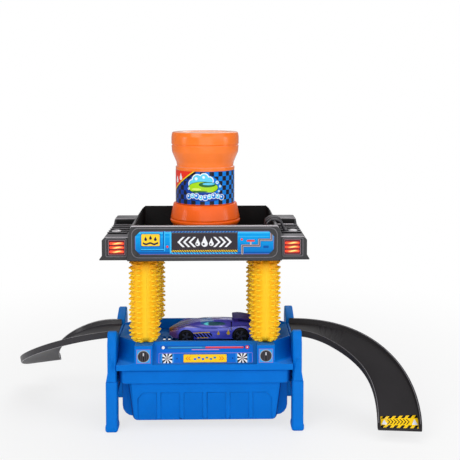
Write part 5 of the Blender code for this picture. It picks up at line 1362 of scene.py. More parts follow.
@dataclass
class Roof:
    """Charcoal roof with its black basin, hose, signs, lamps and wing buttons."""

    reach: float = 0.0460
    bottom: float = 0.1449
    sign_half: float = 0.0577
    sign_base: float = 0.0050
    sign_height: float = 0.0202
    sign_chamfer: float = 0.0045
    sign_recess: float = 0.0006
    sign_margin: float = 0.0004
    film: float = 0.00035
    wing_reach: float = 0.0420
    wing_top: float = 0.1644
    lamp_x: float = 0.0727
    lamp_z: float = 0.1555
    lamp_half: Point2 = (0.0069, 0.0062)
    lamp_frame: Point2 = (0.0084, 0.0075)
    bead: float = 0.0004
    sign_frame: float = 0.0021
    button: Point3 = (0.0755, -0.0197, 0.1654)
    button_half: Point3 = (0.0040, 0.0048, 0.0012)
    rim_spread: float = 1.021
    rim_height: float = 0.1700
    rear_rise: float = 0.0021
    basin_reach: float = 0.0427
    slats: int = 5
    slat_start: float = -0.0275
    slat_pitch: float = 0.0090
    slat_x: Point2 = (0.0655, 0.0825)
    slat_size: Point3 = (0.0076, 0.0010, 0.0005)
    blower_profile: tuple[tuple[float, ...], ...] = (
        (0.0622, 0.0838, 0.0216, 0.0420, 0.1626), (0.0622, 0.0834, 0.0218, 0.0420, 0.1644),
        (0.0622, 0.0826, 0.0222, 0.0418, 0.1688), (0.0622, 0.0822, 0.0226, 0.0414, 0.1694),
        (0.0622, 0.0812, 0.0236, 0.0404, 0.1697),
    )
    grille: tuple[float, ...] = (0.0640, 0.0812, 0.0217, 0.0222, 0.1648, 0.1684)
    fins: int = 13
    fin_half: float = 0.0002
    fin_rise: float = 0.0003
    vent_half: float = 0.0002

    def add(
        self, name: str, mesh: Mesh, material: Material, smooth: float = 35.0
    ) -> None:
        """Put a piece on the roof."""
        new_piece(name, mesh, "base", "roof_plastic", material, (), smooth)

    def shells(self) -> None:
        """Dress the roof and the basin."""
        moulded("roof_shell", "base", "roof_plastic", CHARCOAL.material(), 0.0)
        basin = moulded("water_basin", "base", "basin_plastic", BLACK.material(), 0.0004)
        for vert in basin.data.vertices:
            if vert.co.z > self.rim_height:
                vert.co.x *= self.rim_spread
                vert.co.z += self.rear_rise * max(vert.co.y, 0.0) / self.basin_reach

    def highlight_beads(self) -> None:
        """Run a raised bead round each sign and lamp; its pale grey is a painted highlight on the
        recess edges.
        """
        grey = BEAD_HIGHLIGHT_GREY.material()

        def bead(name: str, place: Place, outline: Sequence[Point2]) -> None:
            """Lay one bead along an outline on a face."""
            points = [place(x, z, 0.0) for x, z in outline]
            self.add(name, rod(name, points, self.bead, True), grey, 60.0)

        grow = self.sign_frame
        low = self.bottom + self.sign_base
        middle = low + self.sign_height / 2
        half = (self.sign_half + grow, self.sign_height / 2 + grow)
        for depth in Depth:
            outline = rounded(half, self.sign_chamfer + grow / 2, 6, (0.0, middle))
            bead(f"sign_bead_{words(depth)}", facing(depth, self.reach), outline)
        for depth, side in CORNERS:
            centre = (-side.value * depth.value * (self.lamp_x + self.bead), self.lamp_z)
            outline = rounded(self.lamp_frame, 0.0008, 4, centre)
            bead(f"lamp_bead_{words(depth, side)}", facing(depth, self.wing_reach), outline)

    def vent(self, side: Side, dark: Material, slat: Material) -> None:
        """Set a vent with tilted slats on a wing, over a black plate that is painted shade between
        the slats.
        """
        near, far = sorted(side.value * x for x in self.slat_x)
        deep, rise, thick = self.slat_size
        rear = self.slat_start + self.slats * self.slat_pitch
        # Painted shade: a black plate under the slats darkens the gaps between them.
        work = bmesh.new()
        low = (near, self.slat_start, self.wing_top - self.vent_half)
        add_box(work, low, (far, rear, self.wing_top + self.vent_half), 0.00005)
        self.add(f"vent_plate_{words(side)}", mesh_from(work, "vent_plate"), dark)
        work = bmesh.new()
        for index in range(self.slats):
            y = self.slat_start + index * self.slat_pitch
            made_before = set(work.verts)
            high = (far, y + deep, self.wing_top + thick)
            add_box(work, (near, y, self.wing_top), high, 0.00012)
            for vert in set(work.verts) - made_before:
                vert.co.z += rise * (1 - (vert.co.y - y) / deep)
        self.add(f"vent_slats_{words(side)}", mesh_from(work, "vent_slats"), slat)

    def blower(self, side: Side, shell: Material, dark: Material) -> None:
        """Set a blower with a finned front on a wing."""
        rings = []
        for x_in, x_out, y_near, y_far, height in self.blower_profile:
            middle = (side.value * (x_in + x_out) / 2, (y_near + y_far) / 2)
            outline = rounded(((x_out - x_in) / 2, (y_far - y_near) / 2), 0.0010, 4, middle)
            rings.append([(x, y, height) for x, y in outline])
        self.add(f"blower_{words(side)}", loft("blower", rings), shell, 30.0)
        x_in, x_out, y_near, y_far, low, high = self.grille
        near, far = sorted((side.value * x_in, side.value * x_out))
        work = bmesh.new()
        add_box(work, (near, y_near, low), (far, y_far + 0.0004, high), 0.0001)
        for index in range(self.fins):
            x = near + (far - near) * (index + 0.5) / self.fins
            low_corner = (x - self.fin_half, y_near - self.fin_rise, low)
            add_box(work, low_corner, (x + self.fin_half, y_near, high), 0.00005)
        self.add(f"blower_grille_{words(side)}", mesh_from(work, "blower_grille"), dark)

    def wings(self) -> None:
        """Set a vent and a blower on each wing."""
        dark, slat, shell = BLACK.material(), SLAT_GREY.material(), CHARCOAL.material()
        for side in Side:
            self.vent(side, dark, slat)
            self.blower(side, shell, dark)

    def signs(self) -> None:
        """Lay the printed sign in its recess, front and rear."""
        half = self.sign_half - self.sign_margin
        low = self.bottom + self.sign_base + self.sign_margin
        high = self.bottom + self.sign_base + self.sign_height - self.sign_margin
        outline = octagon(half, low, high, self.sign_chamfer)
        material = SignPrint(half / MM, (high - low) / MM).canvas.finish(0.35, 0.1)
        for depth in Depth:
            place = facing(depth, self.reach - self.sign_recess)
            name = f"sign_{words(depth)}"
            self.add(name, plate(name, outline, place, self.film, (0.0, low)), material)

    def lamps(self) -> None:
        """Lay the four lamp prints in their recesses."""
        material = LampPrint().material()
        for depth, side in CORNERS:
            centre = (-side.value * depth.value * self.lamp_x, self.lamp_z)
            outline = rounded(self.lamp_half, 0.0005, 5, centre)
            place = facing(depth, self.wing_reach - self.sign_recess)
            name = f"lamp_{words(depth, side)}"
            self.add(name, plate(name, outline, place, self.film, centre), material)

    def buttons(self) -> None:
        """Set one polished oval button on each wing's slats."""
        material = BUTTON_GREY.material()
        x, y, z = self.button
        for side in Side:
            work = bmesh.new()
            bmesh.ops.create_uvsphere(work, u_segments=32, v_segments=12, radius=1.0)
            for vert in work.verts:
                across, along, up = (part * half for part, half in zip(vert.co, self.button_half))
                vert.co = (side.value * x + across, y + along, z + up)
            name = f"button_{words(side)}"
            self.add(name, mesh_from(work, name), material)

    def build(self) -> None:
        """Make every piece of the roof."""
        self.shells()
        self.highlight_beads()
        self.wings()
        self.signs()
        self.lamps()
        self.buttons()


@dataclass
class Hose:
    """Black hose that crosses the basin's right wall three times in a fan."""

    radius: float = 0.0011
    stations: tuple[Point3, ...] = (
        (52.6, -25.0, 169.4), (53.2, -25.0, 172.8), (56.6, -24.6, 175.4), (61.4, -24.0, 175.5),
        (65.0, -23.2, 172.8), (66.9, -22.6, 168.6), (68.2, -22.0, 165.9), (69.8, -20.6, 165.6),
        (68.2, -19.2, 165.9), (66.7, -18.6, 168.8), (64.9, -17.8, 173.2), (61.2, -17.0, 175.9),
        (56.6, -16.6, 175.7), (53.0, -16.4, 173.2), (52.4, -15.8, 170.4), (52.2, -12.6, 168.8),
        (52.4, -9.4, 170.4), (53.0, -9.0, 173.4), (56.6, -9.4, 176.0), (61.4, -10.4, 176.2),
        (65.2, -12.4, 173.4), (67.2, -14.2, 168.8), (68.6, -15.4, 165.9), (70.4, -16.2, 165.6),
    )

    def build(self) -> None:
        """Make the hose as one smooth tube."""
        points = smooth_run([Vector(point) * MM for point in self.stations])
        tube = rod("hose_tube", points, self.radius)
        finish = HOSE_BLACK.material()
        new_piece("hose_tube", tube, "base", "hose_plastic", finish, ["roof_hose"], 60.0)


class LabelPrint:
    """Print of the jar's label: checks on blue round a burst of bubbles."""

    DEEP = srgb(0, 58, 158)
    BRIGHT = srgb(0, 128, 228)
    INK = srgb(18, 20, 38)
    CYAN = srgb(96, 210, 245)
    WHITE = srgb(240, 246, 252)
    LIME = srgb(170, 222, 30)
    GREEN = srgb(30, 104, 44)
    PALE_LIME = srgb(222, 246, 120)
    RED = srgb(240, 50, 28)
    YELLOW = srgb(255, 214, 30)

    def __init__(self, height: float) -> None:
        """Paint the print; across runs round the jar from its front, up from the label's foot."""
        shader = Shader("label_print")
        across, up = shader.sheet()
        fade = across.ease(-18.0, 10.0)
        self.canvas = Canvas(shader, across, up, shader.mix(fade, self.DEEP, self.BRIGHT))
        self.height = height
        for draw in (self.checks, self.burst, self.row_of_bubbles, self.corner):
            draw(self.canvas)

    def checks(self, c: Canvas) -> None:
        """Dark checks all round, kept off the middle of the front."""
        keep_off = c.cover(1 - ((c.across + 2.0) * (1 / 16.0)).hypot((c.up - 14.5) * (1 / 11.0)))
        c.paint(c.checks(4.0) * (1 - keep_off), self.INK)

    def burst(self, c: Canvas) -> None:
        """Foam cloud of discs over a broad lime splash."""
        foam = (
            ((-10.6, 17.6), 3.4), ((-6.4, 21.2), 4.2), ((-0.6, 22.6), 3.6),
            ((3.8, 20.4), 3.0), ((-3.0, 18.4), 4.4),
        )
        for grow, colour in ((0.9, self.WHITE), (0.0, self.CYAN)):
            for centre, radius in foam:
                c.dot(colour, centre, radius + grow)
        for centre, radius in (((-7.4, 22.2), 1.3), ((-1.0, 23.4), 1.1)):
            c.dot(self.WHITE, centre, radius)
        for colour, centre, half in (
            (self.INK, (-1.6, 14.4), (13.4, 5.4)),
            (self.LIME, (-1.6, 14.6), (12.9, 4.9)),
            (self.GREEN, (2.2, 17.2), (7.4, 2.3)),
            (self.CYAN, (3.4, 17.8), (5.2, 1.0)),
            (self.PALE_LIME, (-7.4, 13.2), (4.2, 1.0)),
            (self.GREEN, (-4.6, 11.2), (7.0, 0.7)),
        ):
            c.paint(c.oval(centre, half), colour)
        for centre, radius in (
            ((10.8, 19.0), 1.4), ((13.6, 15.6), 1.1), ((-14.4, 13.6), 1.0), ((12.4, 11.4), 0.9)
        ):
            c.dot(self.WHITE, centre, radius)
            c.dot(self.CYAN, centre, radius * 0.6)

    def row_of_bubbles(self, c: Canvas) -> None:
        """Wavy row of white and pale blue bubbles under the splash."""
        c.paint(c.oval((0.4, 6.8), (18.4, 3.9)), self.DEEP)
        for step in range(9):
            x = -14.4 + step * 3.7
            y = 6.8 + 0.9 * math.sin(step * 1.3)
            radius = 2.1 - 0.4 * (step % 2)
            c.dot(self.WHITE, (x, y), radius + 0.5)
            c.dot(self.CYAN if step % 2 else self.BRIGHT, (x, y), radius)
            c.dot(self.WHITE, (x - 0.5, y + 0.5), radius * 0.4)

    def corner(self, c: Canvas) -> None:
        """Red corner at the front's upper left, with a yellow edge."""
        depth = (c.up - self.height - (c.across + 8.8) * 0.67) * 0.83
        on_front = c.cover(c.across + 46.0)
        c.paint(c.cover(depth + 0.75) * on_front, self.INK)
        c.paint(c.cover(depth) * on_front, self.YELLOW)
        c.paint(c.cover(depth - 0.9) * on_front, self.RED)
        for x, y in ((-24.0, 22.0), (-30.0, 19.4)):
            c.paint(c.drop((x, y), 1.9, 4.4), self.WHITE)


@dataclass
class Jar:
    """Orange water jar with its screw cap and printed label."""

    body_profile: tuple[Point3, ...] = (
        (0.0, 249.0, 0.0), (19.0, 249.0, 0.8), (20.2, 249.7, 0.5), (28.7, 249.7, 1.6),
        (29.5, 245.6, 3.0), (29.5, 239.4, 0.3), (28.8, 238.8, 0.3), (28.8, 238.2, 0.3),
        (29.4, 237.6, 0.4), (28.9, 232.0, 8.0), (25.2, 223.4, 6.0), (24.6, 219.9, 0.3),
        (25.8, 219.3, 0.4), (25.8, 217.2, 0.2), (25.7, 217.0, 0.1), (25.7, 188.0, 0.4),
        (20.5, 188.0, 0.3), (20.5, 177.0, 0.3), (18.7, 177.0, 0.3), (18.7, 189.8, 0.5),
        (23.7, 190.6, 0.8), (23.7, 219.0, 3.0), (27.0, 232.0, 4.0), (27.2, 246.4, 1.5),
        (0.0, 246.8, 0.0),
    )
    cap_profile: tuple[Point3, ...] = (
        (0.0, 170.6, 0.0), (20.8, 170.6, 0.3), (20.8, 187.7, 0.3), (27.6, 187.7, 1.2),
        (28.6, 183.4, 4.0), (30.2, 175.0, 0.6), (29.7, 174.3, 0.2), (29.7, 173.9, 0.2),
        (30.6, 173.1, 0.4), (30.5, 171.6, 1.0), (28.4, 168.4, 1.5), (26.6, 165.2, 0.6),
        (25.6, 165.2, 0.2), (25.6, 168.2, 0.4), (0.0, 168.2, 0.0),
    )
    label_radius: float = 0.02585
    label_film: float = 0.00015
    label_foot: float = 0.1885
    label_height: float = 0.0282
    label_turns: Point2 = (-250.0, 80.0)
    label_steps: int = 132
    label_levels: int = 6
    holes: int = 8
    hole_ring: float = 0.0110
    hole_radius: float = 0.0014
    hole_z: float = 0.1694
    hole_depth: float = 0.0060

    def turned(self, name: str, profile: Sequence[Point3]) -> Mesh:
        """Turn a profile given in millimetres with a radius at each corner."""
        return lathe(name, [(x * MM, y * MM) for x, y in fillet(profile)], 128)

    def cap(self) -> None:
        """Make the cap and drill its drip holes."""
        mesh = self.turned("jar_screw_cap", self.cap_profile)
        finish = CAP_ORANGE.material()
        piece = new_piece("jar_screw_cap", mesh, "jar_lid", "cap_plastic", finish, ["jar_cap"])
        work = bmesh.new()
        for index in range(self.holes):
            turn = math.tau * index / self.holes
            spot = (self.hole_ring * math.cos(turn), self.hole_ring * math.sin(turn), self.hole_z)
            place = Matrix.Translation(spot)
            add_cylinder(work, place, self.hole_radius, self.hole_depth, 20)
        cut(piece, work, "holes")

    def label(self) -> None:
        """Wrap the label round the jar's waist."""
        steps, levels = self.label_steps, self.label_levels
        start, end = (math.radians(turn) for turn in self.label_turns)
        work = bmesh.new()
        layer = work.loops.layers.uv.new(PRINT_MAP)
        turns = [start + (end - start) * step / steps for step in range(steps + 1)]
        heights = [self.label_height * level / levels for level in range(levels + 1)]
        inner, outer = (
            [
                [work.verts.new((x, y, self.label_foot + z)) for z in heights]
                for x, y in ((r * math.sin(a), -r * math.cos(a)) for a in turns)
            ]
            for r in (self.label_radius - self.label_film, self.label_radius)
        )
        for step in range(steps):
            for level in range(levels):
                spots = [(step + i, level + j) for i, j in ((0, 0), (1, 0), (1, 1), (0, 1))]
                face = work.faces.new([outer[i][j] for i, j in spots])
                for loop, (i, j) in zip(face.loops, spots):
                    loop[layer].uv = (turns[i] * self.label_radius, heights[j])
                work.faces.new([inner[i][j] for i, j in reversed(spots)])
            around = ((outer, step), (inner, step), (inner, step + 1), (outer, step + 1))
            for j in (0, -1):
                work.faces.new([sheet[i][j] for sheet, i in around])
        for i in (0, steps):
            for j in range(levels):
                work.faces.new((outer[i][j], outer[i][j + 1], inner[i][j + 1], inner[i][j]))
        material = LabelPrint(self.label_height / MM).canvas.finish(0.3, 0.3)
        new_piece("jar_label", mesh_from(work, "jar_label"), "jar", "jar_plastic", material)

    def build(self) -> None:
        """Make the jar's pieces."""
        mesh = self.turned("jar_bottle", self.body_profile)
        new_piece("jar_bottle", mesh, "jar", "jar_plastic", ORANGE.material(), ["jar_body"])
        self.cap()
        self.label()
        moulded("jar_seal", "jar_lid", "seal_rubber", SEAL_BLACK.material(), 0.0002)


@dataclass(frozen=True)
class RampShape:
    """How one ramp falls and banks along its run."""

    node: str
    body: str
    side: Side
    fall: float
    fall_shares: Point3
    bank: float
    tilt: float


class WarningPrint:
    """Yellow warning strip with slanted black edges and arrowheads."""

    def __init__(self, half: float, height: float) -> None:
        """Paint the strip, in millimetres from its middle and up from its foot."""
        shader = Shader("warning_print")
        across, up = shader.sheet()
        c = Canvas(shader, across, up, srgb(252, 205, 22))
        ink, pale = srgb(22, 20, 18), srgb(226, 232, 246)
        edge = c.bar((0.0, height - 1.0), (half, 1.1)).most(c.bar((0.0, 1.0), (half, 1.1)))
        c.paint(edge * c.stripes(5.4, -0.9, 0.5), ink)
        for side in Side:
            c.paint(c.arrowhead((side.value * 12.2, height / 2 - 2.2), 2.3, 4.2), pale)
        for step in range(-3, 4):
            c.paint(c.chevron((step * 2.6, height / 2), 2.1, 1.0), ink)
        self.canvas = c


@dataclass
class Ramps:
    """Black ramps that fall and turn away from the gates."""

    half_width: float = 0.0179
    height: float = 0.0057
    start_x: float = 0.0762
    bend_x: float = 0.0772
    top: float = 0.0782
    run: float = 0.1192
    turn_shares: Point3 = (0.253, 1.110, -0.251)
    spans: int = 26
    finer: int = 4
    section: tuple[Point2, ...] = (
        (-17.4, -5.7), (17.4, -5.7), (17.9, -5.2), (17.9, -0.35), (17.6, -0.05), (17.25, 0.0),
        (16.85, -0.1), (16.6, -0.45), (16.1, -3.4), (15.7, -4.1), (15.0, -4.5), (-15.0, -4.5),
        (-15.7, -4.1), (-16.1, -3.4), (-16.6, -0.45), (-16.85, -0.1), (-17.25, 0.0),
        (-17.6, -0.05), (-17.9, -0.35), (-17.9, -5.2),
    )
    hook_x: Point2 = (0.0776, 0.0790)
    hook_half: float = 0.0075
    hook_z: Point2 = (0.0670, 0.0731)
    sheets: tuple[RampShape, ...] = (
        RampShape(
            "entrance_ramp", "entrance", Side.RIGHT, 0.0640, (1.259, -1.062, 0.803), 0.0036, 0.0006
        ),
        RampShape(
            "exit_ramp", "exit", Side.LEFT, 0.0498, (1.451, -0.011, -0.440), 0.0015, -0.0032
        ),
    )
    strip_half: float = 0.0151
    strip_shares: Point2 = (0.943, 0.993)
    strip_steps: int = 8
    rim_steps: int = 60
    rim_spots: tuple[tuple[Point2, Point2], ...] = (
        ((-16.75, -0.25), (0.02, 0.995)), ((16.75, -0.25), (0.02, 0.995)),
        ((17.35, -5.55), (0.30, 0.998)), ((-17.35, -5.55), (0.30, 0.998)),
    )
    rim_radius: float = 0.00028
    floor: float = 0.0012
    strip_rise: float = 0.00012
    strip_film: float = 0.00015
    end_share: float = 0.998
    end_shrink_mm: float = 0.35
    end_lip: float = -0.0056

    def turn(self, share: float) -> float:
        """Heading at a share of the run, counted from straight out."""
        parts = (part * share ** (power + 1) for power, part in enumerate(self.turn_shares))
        return math.pi / 2 * sum(parts)

    def plan(self) -> list[Point2]:
        """Middle line in plan at every fine station."""
        points = [(self.bend_x, 0.0)]
        for index in range(self.spans):
            onward = self.turn((index + 0.5) / self.spans)
            x, y = points[-1]
            step = self.run / self.spans
            points.append((x + step * math.cos(onward), y - step * math.sin(onward)))
        return points

    def frame_at(self, shape: RampShape, share: float) -> Callable[[float, float], Vector]:
        """Turn (across, up) into a point of the ramp's section at a share of its run."""
        plan = self.plan()
        spot = share * self.spans
        index = min(int(spot), self.spans - 1)
        part = spot - index
        x, y = (a + (b - a) * part for a, b in zip(plan[index], plan[index + 1]))
        drop = sum(value * share ** (power + 2) for power, value in enumerate(shape.fall_shares))
        bank = shape.bank * math.sin(math.pi * share) ** 2 + shape.tilt * (1 - (1 - share) ** 3)
        middle = Vector((x, y, self.top - shape.fall * drop))
        return self.placed(shape, middle, self.turn(share), bank)

    def placed(
        self, shape: RampShape, middle: Vector, turn: float, bank: float
    ) -> Callable[[float, float], Vector]:
        """Place sections about a middle point with a heading and a bank."""
        lean = math.atan2(bank, self.half_width)
        across = Vector((math.sin(turn), math.cos(turn), 0.0))
        tilted = across * math.cos(lean) + Vector((0.0, 0.0, math.sin(lean)))
        upward = Vector((0.0, 0.0, math.cos(lean))) - across * math.sin(lean)
        side = shape.side.value

        def place(out: float, up: float) -> Vector:
            """Point of the frame; the left ramp is turned half round."""
            point = middle + tilted * out + upward * up
            return Vector((point.x * side, point.y * side, point.z))

        return place

    def channel(self, shape: RampShape) -> Mesh:
        """Loft the channel with softly rounded ends, and add its hook."""
        count = self.spans * self.finer
        places = [self.placed(shape, Vector((self.start_x, 0.0, self.top)), 0.0, 0.0)]
        places += [self.frame_at(shape, step / count) for step in range(count + 1)]
        rings = []
        for place in places:
            shrink = self.end_shrink_mm if place in (places[0], places[-1]) else 0.0
            rings.append([place(*self.inset(point, shrink)) for point in self.section])
        work = bmesh.new()
        skin(work, rings)
        near, far = sorted(shape.side.value * x for x in self.hook_x)
        (low, high), half = self.hook_z, self.hook_half
        add_box(work, (near, -half, low), (far, half, high), 0.0003)
        return mesh_from(work, shape.node)

    def inset(self, point: Point2, shrink: float) -> Point2:
        """Section point in metres, drawn in by a little at the ramp's ends."""
        across, up = point
        inward = -math.copysign(shrink, across) if abs(across) > 17.0 else 0.0
        lowered = -shrink if up > -1.0 else (shrink if up < -5.0 else 0.0)
        return ((across + inward) * MM, (up + lowered) * MM)

    def strip(self, shape: RampShape) -> None:
        """Lay the warning strip near the ramp's end."""
        start, end = self.strip_shares
        work = bmesh.new()
        layer = work.loops.layers.uv.new(PRINT_MAP)
        steps = self.strip_steps
        road = -self.height + self.floor
        quarter = self.strip_half * 0.5
        rows, middles = [], []
        for step in range(steps + 1):
            place = self.frame_at(shape, start + (end - start) * step / steps)
            middles.append(place(0.0, road))
            spots = [place(across * quarter, road + self.strip_rise) for across in range(-2, 3)]
            rows.append([work.verts.new(spot) for spot in spots])
        covered = [0.0]
        for last, middle in zip(middles, middles[1:]):
            covered.append(covered[-1] + (middle - last).length)
        length = covered[-1]
        for step in range(steps):
            for column in range(4):
                corners = [(step + i, column + j) for i, j in ((0, 0), (0, 1), (1, 1), (1, 0))]
                face = work.faces.new([rows[i][j] for i, j in corners])
                for loop, (i, j) in zip(face.loops, corners):
                    loop[layer].uv = ((j - 2) * quarter, length - covered[i])
        name = f"{shape.body}_strip"
        material = WarningPrint(self.strip_half / MM, length / MM).canvas.finish(0.32, 0.3)
        piece = new_piece(name, mesh_from(work, name), shape.body, "ramp_plastic", material)
        solid = piece.modifiers.new("film", "SOLIDIFY")
        solid.thickness = self.strip_film
        solid.offset = -1.0
        settle(piece)

    def highlight_lips(self, shape: RampShape, material: Material) -> None:
        """Run thin pale lips along the walls' edges and across the free end; their pale grey is a
        painted highlight.
        """
        runs = []
        for (across, up), (first, last) in self.rim_spots:
            steps = range(self.rim_steps + 1)
            shares = [first + (last - first) * step / self.rim_steps for step in steps]
            runs.append([self.frame_at(shape, share)(across * MM, up * MM) for share in shares])
        last_place = self.frame_at(shape, self.end_share)
        runs.append([last_place(across * MM, self.end_lip) for across in range(-17, 18)])
        for index, run in enumerate(runs):
            name = f"{shape.body}_rim_{index}"
            mesh = rod(name, run, self.rim_radius)
            new_piece(name, mesh, shape.body, "ramp_plastic", material, (), 60.0)

    def build(self) -> None:
        """Make both ramps."""
        for shape, lip in zip(self.sheets, (RAMP_HIGHLIGHT_LIP, EXIT_HIGHLIGHT_LIP)):
            self.highlight_lips(shape, lip.material())
        # The exit ramp takes the lighter black as painted light.
        for shape, finish in zip(self.sheets, (RAMP_BLACK, EXIT_LIT_BLACK)):
            name, mesh = f"{shape.body}_channel", self.channel(shape)
            look = ("ramp_plastic", finish.material(), [shape.node], 30.0)
            new_piece(name, mesh, shape.body, *look)
        self.strip(self.sheets[0])


class CarPaint:
    """Metallic violet paint with a flash, drops and dark bonnet stripes, by place on the car, with
    painted highlights on the shoulder and the side window.
    """

    VIOLET = srgb(92, 104, 226)
    DEEP = srgb(66, 72, 188)
    ROOF = srgb(76, 68, 166)
    SHOULDER_HIGHLIGHT = srgb(158, 150, 226)
    NOSE = srgb(116, 66, 112)
    TIP = srgb(150, 84, 48)
    GREY = srgb(66, 64, 62)
    GOLD = srgb(214, 176, 44)
    INK = srgb(10, 10, 24)
    GLASS = srgb(2, 70, 84)
    SCREEN = srgb(8, 84, 158)
    GLINT = srgb(96, 222, 226)

    def material(self) -> Material:
        """Build the paint; the print's up is the car's own height, in millimetres."""
        shader = Shader("car_paint")
        x, y, z = shader.place()
        normal = shader.place("Normal", 1.0)
        sideways = abs(normal[1]).ease(0.35, 0.6)
        upward = normal[2].ease(0.4, 0.8)
        flow = shader.noise(9.0, 3.0, (0.5, 1.0, 1.6))
        ground = shader.mix(flow.ease(0.35, 0.65), self.DEEP, self.VIOLET)
        c = Canvas(shader, x, z, ground)
        c.SOFT_MM = 0.3
        c.paint(z.ease(78.5, 80.0) * 0.75, self.ROOF)
        # Painted highlight: a pale lilac streak along the shoulder.
        glint = c.cover(0.5 - abs(z + x * 0.03 - 79.4)) * flow.ease(0.4, 0.6)
        c.paint(glint * 0.7, self.SHOULDER_HIGHLIGHT)
        screen = x.ease(-4.5, -3.5) * (1 - x.ease(6.5, 7.5)) * z.ease(80.5, 80.9)
        c.paint(screen, self.SCREEN)
        c.paint((1 - x.ease(-27.0, -21.0)) * 0.85, self.NOSE)
        c.paint((1 - x.ease(-30.5, -27.0)) * z.ease(73.6, 74.6), self.TIP)
        bonnet = upward * (1 - x.ease(-17.0, -12.0))
        c.paint(bonnet * ((abs(y) % 4.4) < 1.9) * 0.85, self.GREY)
        flash = c.bar((-2.0, 72.3), (8.0, 1.9)) * sideways
        c.paint(flash * c.stripes(2.9, 0.9, 0.6), self.INK)
        c.paint(c.bar((-3.2, 74.7), (7.2, 0.45)) * sideways, self.GOLD)
        c.paint(c.bar((-2.0, 70.1), (4.8, 0.4)) * sideways, self.GOLD)
        for (centre_x, centre_z), radius in (((11.5, 73.6), 1.2), ((20.1, 74.2), 1.5)):
            c.paint(c.drop((centre_x, centre_z), radius, radius * 2.2) * sideways, self.GOLD)
        window = c.cover(1 - ((x - 8.4) * (1 / 9.4)).hypot((z - 80.9) * (1 / 1.5))) * sideways
        c.paint(window, self.GLASS)
        # Painted reflection: the front of the window is bright cyan.
        c.paint(window * (1 - x.ease(1.6, 3.6)), self.GLINT)
        c.paint(c.bar((22.8, 79.8), (0.5, 2.6)) * sideways, self.INK)
        shader.surface_values(
            Base_Color=c.colour,
            Roughness=0.26 + (shader.noise(0.7) - 0.5) * 0.08,
            Metallic=0.1,
            Coat_Weight=0.3,
            Coat_Roughness=0.12,
        )
        return shader.material


